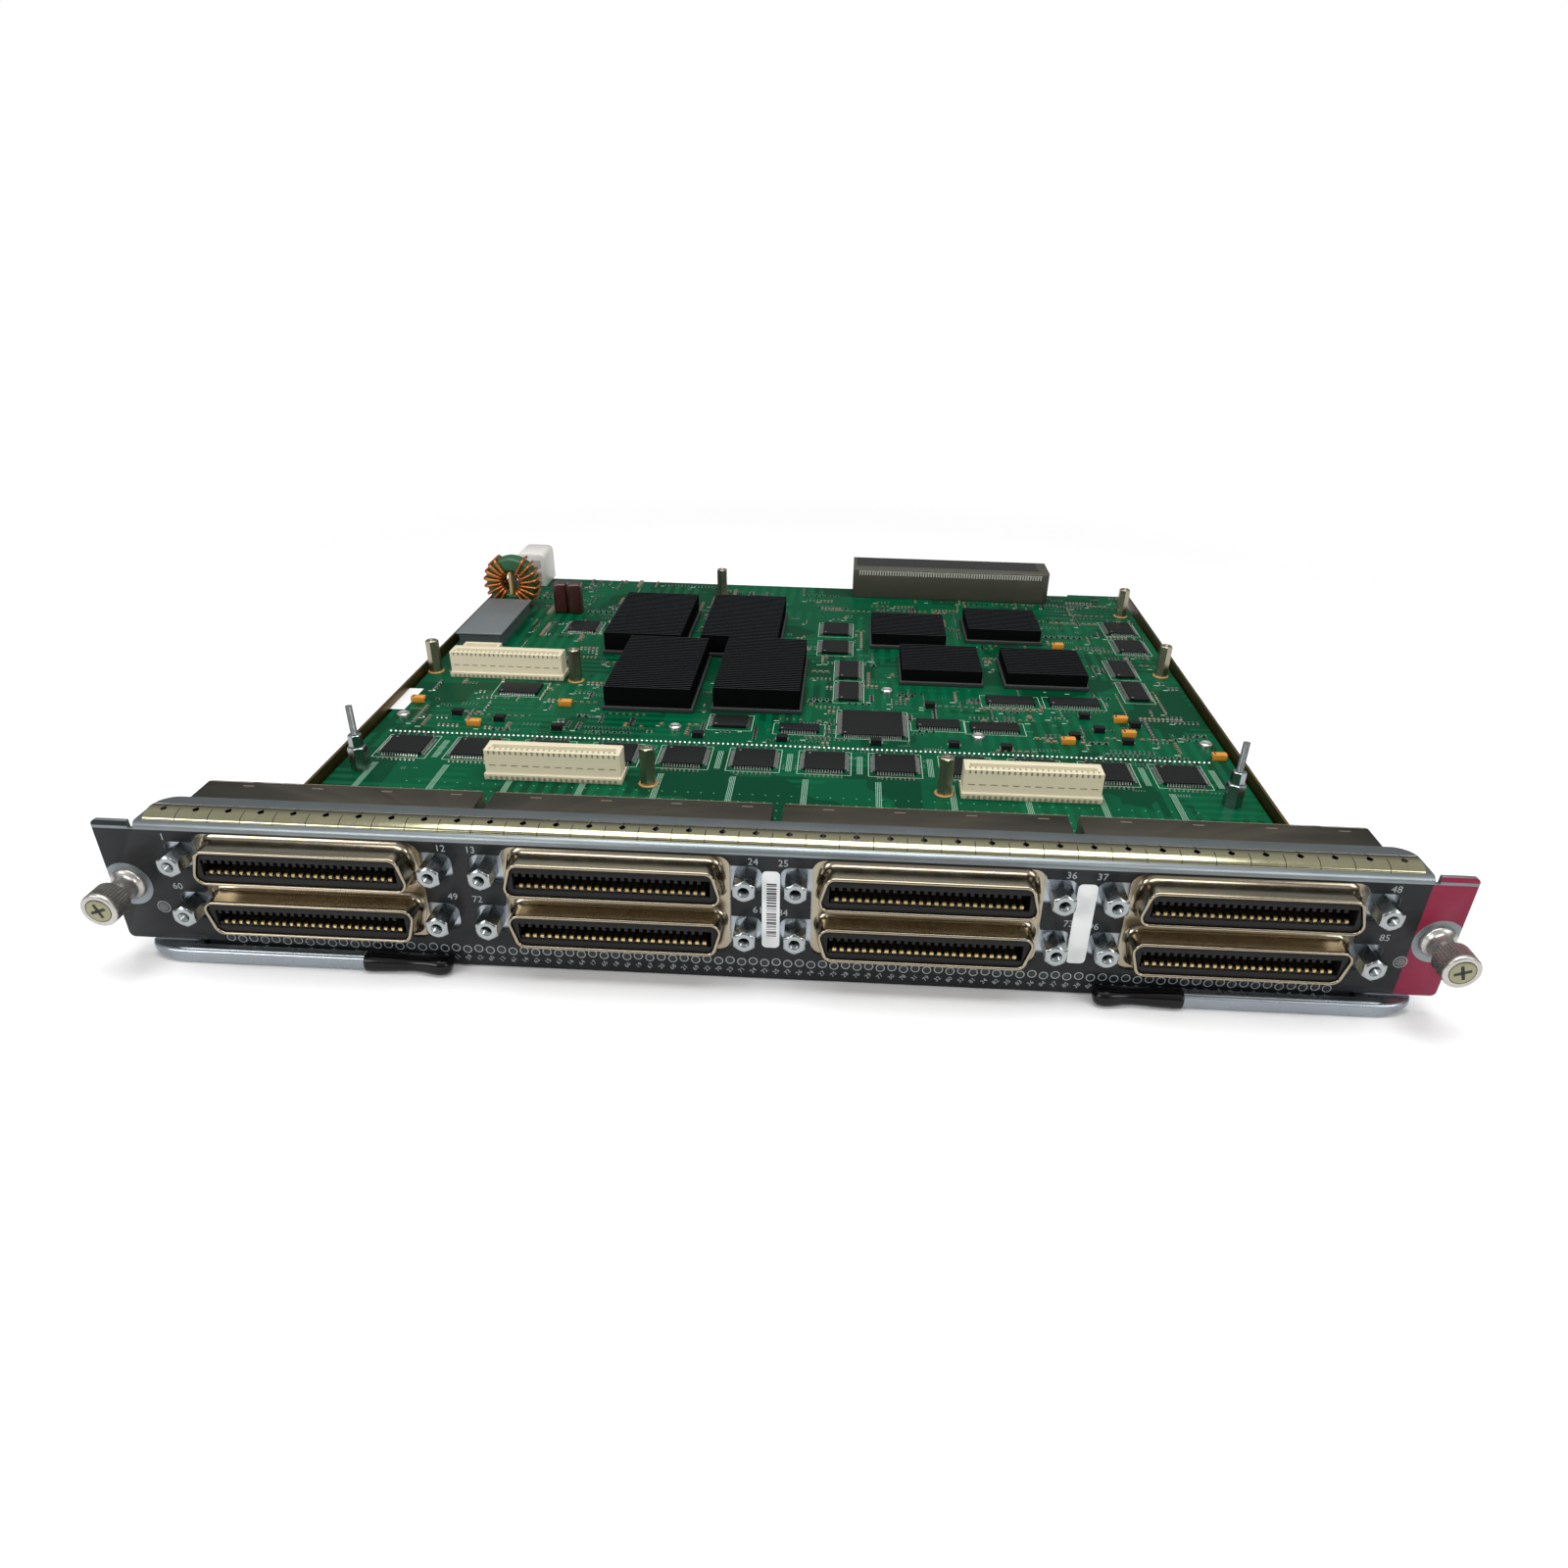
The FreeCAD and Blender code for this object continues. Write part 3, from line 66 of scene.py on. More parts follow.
# ---- small helpers ---------------------------------------------------------------------------------
def srgb(code):
    """An sRGB hex colour as linear RGBA."""
    parts = [int(code[i:i + 2], 16) / 255 for i in (0, 2, 4)]
    return [p / 12.92 if p <= 0.04045 else ((p + 0.055) / 1.055) ** 2.4 for p in parts] + [1.0]


def add(tree, kind, inputs=None, **settings):
    """Add a node with its settings; an input is given a value or a socket to link."""
    node = tree.nodes.new(kind)
    for name, value in settings.items():
        setattr(node, name, value)
    for name, value in (inputs or {}).items():
        if isinstance(value, bpy.types.NodeSocket):
            tree.links.new(value, node.inputs[name])
        else:
            node.inputs[name].default_value = value
    return node


def mesh_of(name, points, faces, smooth=False):
    """A mesh from points in millimetres."""
    mesh = bpy.data.meshes.new(name)
    mesh.from_pydata([(x * MM, y * MM, z * MM) for x, y, z in points], [], faces)
    mesh.validate()
    if smooth:
        mesh.shade_smooth()
    mesh.update()
    return mesh


def piece(name, mesh, material, body=CARD, replaces=(), sharp=None):
    """Put a finished mesh in the scene and let it ride on a body."""
    thing = bpy.data.objects.new(name, mesh)
    bpy.context.scene.collection.objects.link(thing)
    if material:
        mesh.materials.clear()
        mesh.materials.append(material)
    if sharp is not None:
        mesh.shade_smooth()
        mesh.set_sharp_from_angle(angle=math.radians(sharp))
    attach(thing, body)
    if replaces:
        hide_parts(*replaces)
    return thing


def dress(node, material):
    """Give a node of the frame its finish."""
    mesh = NODES[node].data
    mesh.materials.clear()
    mesh.materials.append(material)


def join(parts):
    """Several (points, faces) as one."""
    points, faces = [], []
    for more_points, more_faces in parts:
        start = len(points)
        points += list(more_points)
        faces += [tuple(i + start for i in face) for face in more_faces]
    return points, faces


def block(x0, x1, y0, y1, z0, z1):
    points = [(x, y, z) for x in (x0, x1) for y in (y0, y1) for z in (z0, z1)]
    faces = [(0, 1, 3, 2), (4, 6, 7, 5), (0, 4, 5, 1), (2, 3, 7, 6), (0, 2, 6, 4), (1, 5, 7, 3)]
    return points, faces


def rounded(corners, radii, steps=5):
    """A closed outline with rounded corners, as 2-D points; corners run anticlockwise."""
    outline = []
    count = len(corners)
    for i in range(count):
        here = Vector(corners[i])
        before = (Vector(corners[i - 1]) - here).normalized()
        after = (Vector(corners[(i + 1) % count]) - here).normalized()
        radius = radii[i] if isinstance(radii, (list, tuple)) else radii
        half = before.angle(after) / 2
        reach = max(radius, 1e-4) / math.tan(half)
        centre = here + (before + after).normalized() * (max(radius, 1e-4) / math.sin(half))
        a, b = here + before * reach - centre, here + after * reach - centre
        turn = a.angle_signed(b)
        for k in range(steps + 1):
            c, s = math.cos(-turn * k / steps), math.sin(-turn * k / steps)
            outline.append((centre.x + a.x * c - a.y * s, centre.y + a.x * s + a.y * c))
    return outline


def oblong(x0, x1, z0, z1, radius, steps=5):
    return rounded([(x0, z0), (x1, z0), (x1, z1), (x0, z1)], radius, steps)


def loft(loops, cap_first=False, cap_last=False, closed=True):
    """A skin over loops with the same number of points."""
    size = len(loops[0])
    points = [p for loop in loops for p in loop]
    faces = []
    last = size if closed else size - 1
    for row in range(len(loops) - 1):
        for i in range(last):
            j = (i + 1) % size
            faces.append((row * size + i, row * size + j, (row + 1) * size + j, (row + 1) * size + i))
    if cap_first:
        faces.append(tuple(reversed(range(size))))
    if cap_last:
        faces.append(tuple(range((len(loops) - 1) * size, len(loops) * size)))
    return points, faces


def outward(mesh):
    """Turn the faces outwards."""
    work = bmesh.new()
    work.from_mesh(mesh)
    bmesh.ops.remove_doubles(work, verts=work.verts, dist=1e-7)
    bmesh.ops.recalc_face_normals(work, faces=work.faces)
    work.to_mesh(mesh)
    work.free()
    return mesh


def spun(profile, centre, steps=40, axis="Y"):
    """A profile of (radius, distance) turned about an axis through a centre."""
    loops = []
    for radius, along in profile:
        loop = []
        for k in range(steps):
            a = 2 * math.pi * k / steps
            u, v = radius * math.cos(a), radius * math.sin(a)
            if axis == "Y":
                loop.append((centre[0] + u, centre[1] + along, centre[2] + v))
            else:
                loop.append((centre[0] + u, centre[1] + v, centre[2] + along))
        loops.append(loop)
    return loft(loops, profile[0][0] > 0, profile[-1][0] > 0)


def solids_of(node):
    """Lowest and highest corner, in millimetres, of each separate solid in a node."""
    mesh = NODES[node].data
    places = np.round(np.array([v.co for v in mesh.vertices]) / MM, 3)
    ids = {}
    owner = [ids.setdefault(tuple(p), len(ids)) for p in places]
    root = list(range(len(ids)))

    def find(i):
        while root[i] != i:
            root[i] = root[root[i]]
            i = root[i]
        return i
    for face in mesh.polygons:
        first = find(owner[face.vertices[0]])
        for v in face.vertices[1:]:
            root[find(owner[v])] = first
    groups = {}
    for i, p in enumerate(places):
        groups.setdefault(find(owner[i]), []).append(p)
    found = [(np.min(g, 0), np.max(g, 0)) for g in groups.values()]
    return sorted(found, key=lambda b: (round(b[0][0], 1), round(b[0][1], 1)))


# ---- geometry node trees ---------------------------------------------------------------------------
def new_tree(name, inputs):
    tree = bpy.data.node_groups.new(name, "GeometryNodeTree")
    tree.interface.new_socket("Geometry", in_out="INPUT", socket_type="NodeSocketGeometry")
    for label, kind, value in inputs:
        socket = tree.interface.new_socket(label, in_out="INPUT", socket_type=kind)
        if value is not None:
            socket.default_value = value
    tree.interface.new_socket("Geometry", in_out="OUTPUT", socket_type="NodeSocketGeometry")
    return tree, tree.nodes.new("NodeGroupInput"), tree.nodes.new("NodeGroupOutput")


def close_tree(tree, given, result, geometry):
    real = add(tree, "GeometryNodeRealizeInstances", {"Geometry": geometry})
    painted = add(tree, "GeometryNodeSetMaterial",
                  {"Geometry": real.outputs["Geometry"], "Material": given.outputs["Material"]})
    tree.links.new(painted.outputs["Geometry"], result.inputs["Geometry"])
    return tree


def rows_tree():
    """Repeats a piece along three directions."""
    inputs = [("Material", "NodeSocketMaterial", None)]
    for level in "ABC":
        inputs += [("Count " + level, "NodeSocketInt", 1), ("Step " + level, "NodeSocketVector", (0, 0, 0))]
    tree, given, result = new_tree("card_rows", inputs)
    geometry = given.outputs["Geometry"]
    for level in "ABC":
        line = add(tree, "GeometryNodeMeshLine", {"Count": given.outputs["Count " + level],
                                                  "Offset": given.outputs["Step " + level]})
        placed = add(tree, "GeometryNodeInstanceOnPoints",
                     {"Points": line.outputs["Mesh"], "Instance": geometry})
        geometry = placed.outputs["Instances"]
    return close_tree(tree, given, result, geometry)


def ring_tree():
    """Repeats a piece round an axis through a centre."""
    inputs = [("Material", "NodeSocketMaterial", None), ("Count", "NodeSocketInt", 8),
              ("Turn", "NodeSocketFloat", 0.1), ("Axis", "NodeSocketVector", (0, 1, 0)),
              ("Centre", "NodeSocketVector", (0, 0, 0))]
    tree, given, result = new_tree("card_ring", inputs)
    line = add(tree, "GeometryNodeMeshLine", {"Count": given.outputs["Count"], "Offset": (0, 0, 0)})
    index = add(tree, "GeometryNodeInputIndex")
    angle = add(tree, "ShaderNodeMath", {0: index.outputs[0], 1: given.outputs["Turn"]}, operation="MULTIPLY")
    spin = add(tree, "FunctionNodeAxisAngleToRotation",
               {"Axis": given.outputs["Axis"], "Angle": angle.outputs[0]})
    placed = add(tree, "GeometryNodeInstanceOnPoints",
                 {"Points": line.outputs["Mesh"], "Instance": given.outputs["Geometry"],
                  "Rotation": spin.outputs["Rotation"]})
    moved = add(tree, "GeometryNodeTransform",
                {"Geometry": placed.outputs["Instances"], "Translation": given.outputs["Centre"]})
    return close_tree(tree, given, result, moved.outputs["Geometry"])


def blocks_tree():
    """Puts a block of its own size on each point."""
    tree, given, result = new_tree("card_blocks", [("Material", "NodeSocketMaterial", None)])
    size = add(tree, "GeometryNodeInputNamedAttribute", {"Name": "size"}, data_type="FLOAT_VECTOR")
    turn = add(tree, "GeometryNodeInputNamedAttribute", {"Name": "turn"}, data_type="FLOAT")
    spin = add(tree, "FunctionNodeAxisAngleToRotation",
               {"Axis": (0, 0, 1), "Angle": turn.outputs["Attribute"]})
    cube = add(tree, "GeometryNodeMeshCube", {"Size": (1, 1, 1)})
    placed = add(tree, "GeometryNodeInstanceOnPoints",
                 {"Points": given.outputs["Geometry"], "Instance": cube.outputs["Mesh"],
                  "Rotation": spin.outputs["Rotation"], "Scale": size.outputs["Attribute"]})
    return close_tree(tree, given, result, placed.outputs["Instances"])


TREES = {}


def grown(name, tree_name, mesh, material, values, body=CARD, slot=None, replaces=(), sharp=None):
    """Run a tree on a mesh, keep the result as a plain mesh and drop the modifier."""
    if not TREES:
        TREES.update(rows=rows_tree(), ring=ring_tree(), blocks=blocks_tree())
    tree = TREES[tree_name]
    seed = bpy.data.objects.new(name + "_seed", mesh)
    bpy.context.scene.collection.objects.link(seed)
    modifier = seed.modifiers.new("repeat", "NODES")
    modifier.node_group = tree
    ids = {item.name: item.identifier for item in tree.interface.items_tree if item.in_out == "INPUT"}
    modifier[ids["Material"]] = material
    for label, value in values.items():
        modifier[ids[label]] = value
    seen = seed.evaluated_get(bpy.context.evaluated_depsgraph_get())
    made = bpy.data.meshes.new_from_object(seen)
    seed.modifiers.remove(modifier)
    bpy.data.objects.remove(seed)
    made.name = name
    return piece(name, made, material, body, replaces, sharp)


def rows(name, shape, material, *runs, **keeps):
    """A shape of (points, faces) repeated in up to three runs of (count, step in millimetres)."""
    values = {}
    for level, (count, step) in zip("ABC", runs):
        values["Count " + level] = count
        values["Step " + level] = [s * MM for s in step]
    smooth = keeps.pop("smooth", False)
    return grown(name, "rows", mesh_of(name, shape[0], shape[1], smooth), material, values, **keeps)


def blocks(name, boxes, material, **keeps):
    """Blocks given as (x, y, z of the centre, width, depth, height, turn), in millimetres and radians."""
    mesh = mesh_of(name, [box[:3] for box in boxes], [])
    size = mesh.attributes.new("size", "FLOAT_VECTOR", "POINT")
    size.data.foreach_set("vector", [s * MM for box in boxes for s in box[3:6]])
    turn = mesh.attributes.new("turn", "FLOAT", "POINT")
    turn.data.foreach_set("value", [box[6] if len(box) > 6 else 0.0 for box in boxes])
    return grown(name, "blocks", mesh, material, {}, **keeps)


# ---- settings --------------------------------------------------------------------------------------
class CardSettings(bpy.types.PropertyGroup):
    paint: FloatVectorProperty(name="Faceplate paint", description="Satin paint on the faceplate's front",
                               subtype="COLOR", size=4, min=0, max=1, default=srgb("151719"))
    wing: FloatVectorProperty(name="Marked wing", description="Paint on the right-hand wing",
                              subtype="COLOR", size=4, min=0, max=1, default=srgb("7d1435"))
    mask: FloatVectorProperty(name="Solder mask", description="Colour of the circuit board",
                              subtype="COLOR", size=4, min=0, max=1, default=srgb("01472c"))
    grip: FloatVectorProperty(name="Grip", description="Dipped vinyl on the lever ends",
                              subtype="COLOR", size=4, min=0, max=1, default=srgb("08080a"))
    edge: FloatProperty(name="Softened edges", description="Width of the broken edges on sheet and mouldings",
                        subtype="DISTANCE", unit="LENGTH", default=0.0002, min=0.00005, max=0.0005)
    fin_pitch: FloatProperty(name="Fin pitch", description="Distance between heat sink fins",
                             subtype="DISTANCE", unit="LENGTH", default=0.00205, min=0.0015, max=0.004)
    lamp_radius: FloatProperty(name="Lamp rings", description="Radius of the printed rings for port lamps",
                               subtype="DISTANCE", unit="LENGTH", default=0.00136, min=0.0005, max=0.002)
    winding: FloatProperty(name="Winding wire", description="Thickness of the toroid's wire",
                           subtype="DISTANCE", unit="LENGTH", default=0.0017, min=0.0008, max=0.003)
    seed: IntProperty(name="Scatter seed", description="Arrangement of the smallest board parts",
                      default=7, min=0)


def settings():
    return bpy.context.scene.line_card


# ---- materials -------------------------------------------------------------------------------------
FINISHES = {}


def principled(name):
    made = bpy.data.materials.new(name)
    made.use_nodes = True
    shader = made.node_tree.nodes["Principled BSDF"]
    return made, made.node_tree, shader


def wander(tree, grain, detail=5.0, stretch=(1, 1, 1)):
    """Noise whose features are about `grain` millimetres across."""
    place = add(tree, "ShaderNodeTexCoord")
    scaled = add(tree, "ShaderNodeMapping", {"Vector": place.outputs["Object"], "Scale": stretch})
    return add(tree, "ShaderNodeTexNoise", {"Vector": scaled.outputs["Vector"], "Scale": 1 / (grain * MM),
                                            "Detail": detail, "Roughness": 0.6})


def blend(tree, factor, low, high):
    return add(tree, "ShaderNodeMix", {"Factor": factor, 6: low, 7: high}, data_type="RGBA").outputs[2]


def spread(tree, factor, low, high):
    return add(tree, "ShaderNodeMapRange", {"Value": factor, "From Min": 0.3, "From Max": 0.7,
                                            "To Min": low, "To Max": high}).outputs["Result"]


def tinted(colour, share):
    return [min(1.0, c * share) for c in colour[:3]] + [1.0]


def finish(name, colour, rough=0.5, metal=0.0, grain=1.5, uneven=0.12, bump=0.02, coat=0.0,
           stretch=(1, 1, 1), shine=0.5):
    """A surface whose colour, gloss and height wander a little; made once and shared."""
    if name in FINISHES:
        return FINISHES[name]
    made, tree, shader = principled(name)
    base = srgb(colour) if isinstance(colour, str) else colour
    coarse = wander(tree, grain * 6)
    fine = wander(tree, grain, stretch=stretch)
    link = tree.links.new
    link(blend(tree, coarse.outputs["Fac"], tinted(base, 1 - uneven), tinted(base, 1 + uneven)),
         shader.inputs["Base Color"])
    link(spread(tree, fine.outputs["Fac"], rough * 0.82, min(1.0, rough * 1.18)), shader.inputs["Roughness"])
    height = add(tree, "ShaderNodeBump", {"Height": fine.outputs["Fac"], "Strength": 0.5,
                                          "Distance": bump * MM})
    link(height.outputs["Normal"], shader.inputs["Normal"])
    shader.inputs["Metallic"].default_value = metal
    shader.inputs["Coat Weight"].default_value = coat
    shader.inputs["Specular IOR Level"].default_value = shine
    FINISHES[name] = made
    return made


def compare(tree, value, edge, soft=0.00003):
    """1 where a coordinate is past an edge."""
    return add(tree, "ShaderNodeMapRange", {"Value": value, "From Min": edge - soft,
                                            "From Max": edge + soft}).outputs["Result"]


def both(tree, one, other, how="MULTIPLY"):
    return add(tree, "ShaderNodeMath", {0: one, 1: other}, operation=how).outputs[0]


def faceplate_finish():
    """Charcoal satin paint below the bend, one crimson wing, bare zinc on the flange and cut edges."""
    made, tree, shader = principled("painted_faceplate")
    link = tree.links.new
    spot = add(tree, "ShaderNodeSeparateXYZ",
               {0: add(tree, "ShaderNodeTexCoord").outputs["Object"]}).outputs
    front = both(tree, compare(tree, spot["Y"], 0.00012), 1.0, "SUBTRACT")
    front = both(tree, front, -1.0)
    below = both(tree, both(tree, compare(tree, spot["Z"], 0.0431, 0.0001), 1.0, "SUBTRACT"), -1.0)
    wing_z = compare(tree, spot["Z"], 0.0440)
    wing_x = add(tree, "ShaderNodeMath", {0: spot["X"]}, operation="ABSOLUTE").outputs[0]
    on_wing = both(tree, wing_z, compare(tree, wing_x, 0.1845))
    painted = both(tree, front, both(tree, below, on_wing, "MAXIMUM"))
    away = add(tree, "ShaderNodeCombineXYZ", {"X": both(tree, wing_x, 0.1903, "SUBTRACT"),
                                              "Z": both(tree, spot["Z"], 0.0244, "SUBTRACT")})
    reach = add(tree, "ShaderNodeVectorMath", {0: away.outputs[0]}, operation="LENGTH").outputs["Value"]
    painted = both(tree, painted, compare(tree, reach, 0.0071, 0.00008))
    fine = wander(tree, 0.35)
    cloud = wander(tree, 22)
    paint = blend(tree, cloud.outputs["Fac"], tinted(settings().paint, 0.82), tinted(settings().paint, 1.2))
    crimson = blend(tree, cloud.outputs["Fac"], tinted(settings().wing, 0.9), tinted(settings().wing, 1.1))
    zinc = blend(tree, wander(tree, 5, stretch=(0.3, 1, 1)).outputs["Fac"], srgb("6f7678"), srgb("8e969a"))
    link(blend(tree, painted, zinc, blend(tree, compare(tree, spot["X"], 0.1832, 0.00005), paint, crimson)),
         shader.inputs["Base Color"])
    link(both(tree, both(tree, painted, 1.0, "SUBTRACT"), -0.92), shader.inputs["Metallic"])
    link(spread(tree, fine.outputs["Fac"], 0.34, 0.46), shader.inputs["Roughness"])
    shader.inputs["Specular IOR Level"].default_value = 0.28
    height = add(tree, "ShaderNodeBump", {"Height": fine.outputs["Fac"], "Strength": 0.35,
                                          "Distance": 0.02 * MM})
    link(height.outputs["Normal"], shader.inputs["Normal"])
    return made


def zinc():
    """Bluish bright zinc on sheet parts, faintly spangled."""
    return finish("bright_zinc", "9aa1a8", 0.3, 1.0, 4.0, 0.16, 0.01)


def jack_steel():
    """Bright plated hexagon bars: hard small highlights."""
    return finish("plated_bar", "989d9e", 0.24, 1.0, 1.2, 0.12, 0.01)


def spring_bronze():
    """Tinned spring bronze with a warm cast on the curves."""
    return finish("tinned_bronze", "a5a284", 0.13, 1.0, 2.5, 0.2, 0.01)


def shell_nickel():
    """Warm nickel of the socket shells, smooth enough to mirror the surroundings."""
    return finish("warm_nickel", "998f7c", 0.2, 1.0, 3.0, 0.14, 0.01)


def can_sheet():
    """Dull nickel silver of the shield cans, brown-grey."""
    return finish("nickel_silver", "5c584c", 0.36, 1.0, 5.0, 0.16, 0.015, stretch=(0.15, 1, 1))


def black_moulding():
    """Glass-filled black moulding, slightly glossy at its edges."""
    return finish("black_moulding", "0d0d0e", 0.42, 0.0, 0.6, 0.2, 0.02, shine=0.22)


def gold():
    """Gold flash on the contact tips."""
    return finish("gold_flash", "f6d795", 0.3, 0.9, 0.8, 0.1, 0.0)


def phosphor_bronze():
    """Phosphor bronze of the contacts behind their gilt tips, made very dark as painted shade deep in the slot.
    """
    return finish("phosphor_bronze", "2e2514", 0.5, 0.7, 0.8, 0.15, 0.0)


def tin():
    """Soft bright solder and tinned leads."""
    return finish("bright_solder", "c9ccc8", 0.28, 1.0, 0.5, 0.15, 0.01)


def epoxy_black():
    """Black moulding compound of the chips, chalky grey at a low angle."""
    return finish("moulding_compound", "131515", 0.55, 0.0, 0.25, 0.18, 0.01, shine=0.12)


def anodised():
    """Black anodised aluminium, matt."""
    return finish("black_anodised", "050606", 0.6, 0.0, 0.5, 0.2, 0.01, shine=0.05)


def cream():
    """Cream connector moulding, a little glossy."""
    return finish("cream_moulding", "cdc4a8", 0.45, 0.0, 2.0, 0.05, 0.01)


def print_grey():
    """Grey screen print."""
    return finish("grey_print", "9aa0a3", 0.55, 0.0, 0.6, 0.08, 0.0)


def print_white():
    """White screen print on the board, thin enough to show green through it."""
    return finish("board_print", "9db5a2", 0.6, 0.0, 0.4, 0.12, 0.0)


# ---- stage -----------------------------------------------------------------------------------------
def camera():
    """Stands in front of the card and above it, a little to the right."""
    heading, dip, roll = (math.radians(a) for a in (2.146, 31.379, -1.377))
    ahead = Vector((-math.sin(heading) * math.cos(dip), math.cos(heading) * math.cos(dip), -math.sin(dip)))
    level = ahead.cross(Vector((0, 0, 1))).normalized()
    down = ahead.cross(level)
    right = level * math.cos(roll) + down * math.sin(roll)
    up = level * math.sin(roll) - down * math.cos(roll)
    data = bpy.data.cameras.new("camera")
    data.sensor_width = 36
    data.lens = 24.96
    data.shift_x = -0.0105
    data.shift_y = 0.0625
    data.clip_start = 0.01
    eye = bpy.data.objects.new("camera", data)
    turn = Matrix((right, up, -ahead)).transposed().to_4x4()
    eye.matrix_world = Matrix.Translation((0.0183, -0.2641, 0.1963)) @ turn
    bpy.context.scene.collection.objects.link(eye)
    bpy.context.scene.camera = eye


def softbox(name, place, target, width, depth, power):
    data = bpy.data.lights.new(name, "AREA")
    data.shape = "RECTANGLE"
    data.size, data.size_y, data.energy = width, depth, power
    lamp = bpy.data.objects.new(name, data)
    aim = Vector(target) - Vector(place)
    lamp.matrix_world = Matrix.Translation(place) @ aim.to_track_quat("-Z", "Y").to_matrix().to_4x4()
    bpy.context.scene.collection.objects.link(lamp)


def backdrop():
    """White where the camera looks past the card and in clear reflections, soft light elsewhere."""
    world = bpy.data.worlds.new("studio")
    world.use_nodes = True
    tree = world.node_tree
    tree.nodes.clear()
    path = add(tree, "ShaderNodeLightPath").outputs
    seen = both(tree, path["Is Camera Ray"], path["Is Transmission Ray"], "MAXIMUM")
    plain = add(tree, "ShaderNodeBackground", {"Color": (1, 1, 1, 1), "Strength": 1.0})
    aim = add(tree, "ShaderNodeSeparateXYZ", {0: add(tree, "ShaderNodeTexCoord").outputs["Generated"]})
    sky = add(tree, "ShaderNodeMapRange", {"Value": aim.outputs["Z"], "From Min": 0.05, "From Max": 0.75,
                                           "To Min": 0.1, "To Max": 0.62}, interpolation_type="SMOOTHSTEP")
    mirrored = add(tree, "ShaderNodeBackground", {"Color": (1, 1, 1, 1), "Strength": sky.outputs["Result"]})
    dim = add(tree, "ShaderNodeBackground", {"Color": (1, 1, 1, 1), "Strength": 0.26})
    first = add(tree, "ShaderNodeMixShader", {0: path["Is Glossy Ray"], 1: dim.outputs[0],
                                              2: mirrored.outputs[0]})
    second = add(tree, "ShaderNodeMixShader", {0: seen, 1: first.outputs[0], 2: plain.outputs[0]})
    result = add(tree, "ShaderNodeOutputWorld", {"Surface": second.outputs[0]})
    result.is_active_output = True
    bpy.context.scene.world = world


def floor_finish():
    """Pale paper with the card's shadow on it, which runs into the white behind the card."""
    made, tree, shader = principled("pale_floor")
    shader.inputs["Base Color"].default_value = srgb("f6f6f6")
    shader.inputs["Roughness"].default_value = 0.7
    shader.inputs["Specular IOR Level"].default_value = 0.2
    place = add(tree, "ShaderNodeTexCoord").outputs["Object"]
    away = add(tree, "ShaderNodeVectorMath", {0: place, 1: (0.0, 0.19, 0.0)}, operation="DISTANCE")
    far = add(tree, "ShaderNodeMapRange", {"Value": away.outputs["Value"], "From Min": 0.27,
                                           "From Max": 0.5}, interpolation_type="SMOOTHSTEP")
    seen = add(tree, "ShaderNodeLightPath").outputs["Is Camera Ray"]
    white = add(tree, "ShaderNodeEmission", {"Color": (1, 1, 1, 1), "Strength": 1.0})
    mixed = add(tree, "ShaderNodeMixShader", {0: both(tree, far.outputs["Result"], seen),
                                              1: shader.outputs[0], 2: white.outputs[0]})
    tree.links.new(mixed.outputs[0], tree.nodes["Material Output"].inputs["Surface"])
    return made


def make_floor():
    mesh = mesh_of("floor", [(-1500, -1200, 0), (1500, -1200, 0), (1500, 1900, 0), (-1500, 1900, 0)],
                   [(0, 1, 2, 3)])
    floor = bpy.data.objects.new("floor", mesh)
    mesh.materials.append(floor_finish())
    bpy.context.scene.collection.objects.link(floor)


# ---- softened copies of the frame's pieces ---------------------------------------------------------
def softened(node, material, width=None, segments=2):
    """The node's own shape with its sharp edges broken, so that they catch the light."""
    made = NODES[node].data.copy()
    made.name = node + "_softened"
    work = bmesh.new()
    work.from_mesh(made)
    bmesh.ops.remove_doubles(work, verts=work.verts, dist=2e-6)
    bmesh.ops.dissolve_limit(work, angle_limit=math.radians(2), verts=work.verts, edges=work.edges)
    hard = [e for e in work.edges if len(e.link_faces) == 2 and e.calc_face_angle(0) > math.radians(50)]
    bmesh.ops.bevel(work, geom=hard, offset=width or settings().edge, offset_type="OFFSET",
                    segments=segments, profile=0.5, affect="EDGES", clamp_overlap=True)
    bmesh.ops.recalc_face_normals(work, faces=work.faces)
    work.to_mesh(made)
    work.free()
    body = next(b for b, names in BODY_NODES.items() if node in names)
    return piece(node + "_soft", made, material, body, [node], sharp=35)


BODY_NODES = frame["record"]["behaviour"]["bodies"]


# ---- faceplate and its print -----------------------------------------------------------------------
PRINT_LIFT = 0.02


def words(name, entries, material, size, turn=0.0, body=CARD):
    """Printed words on the faceplate's front: (text, x, z) in millimetres, as one thin mesh."""
    parts = []
    for text, x, z in entries:
        curve = bpy.data.curves.new(name, "FONT")
        curve.body = text
        curve.size = size * MM
        curve.align_x = "CENTER"
        curve.align_y = "CENTER"
        curve.resolution_u = 2
        written = bpy.data.objects.new(name, curve)
        bpy.context.scene.collection.objects.link(written)
        flat = bpy.data.meshes.new_from_object(written.evaluated_get(bpy.context.evaluated_depsgraph_get()))
        bpy.data.objects.remove(written)
        place = Matrix.Translation((x * MM, -PRINT_LIFT * MM, z * MM)) @ Matrix.Rotation(
            math.pi / 2, 4, "X") @ Matrix.Rotation(turn, 4, "Z")
        flat.transform(place)
        parts.append((([tuple(c / MM for c in v.co) for v in flat.vertices]),
                      [tuple(f.vertices) for f in flat.polygons]))
        bpy.data.meshes.remove(flat)
    return piece(name, mesh_of(name, *join(parts)), material, body)


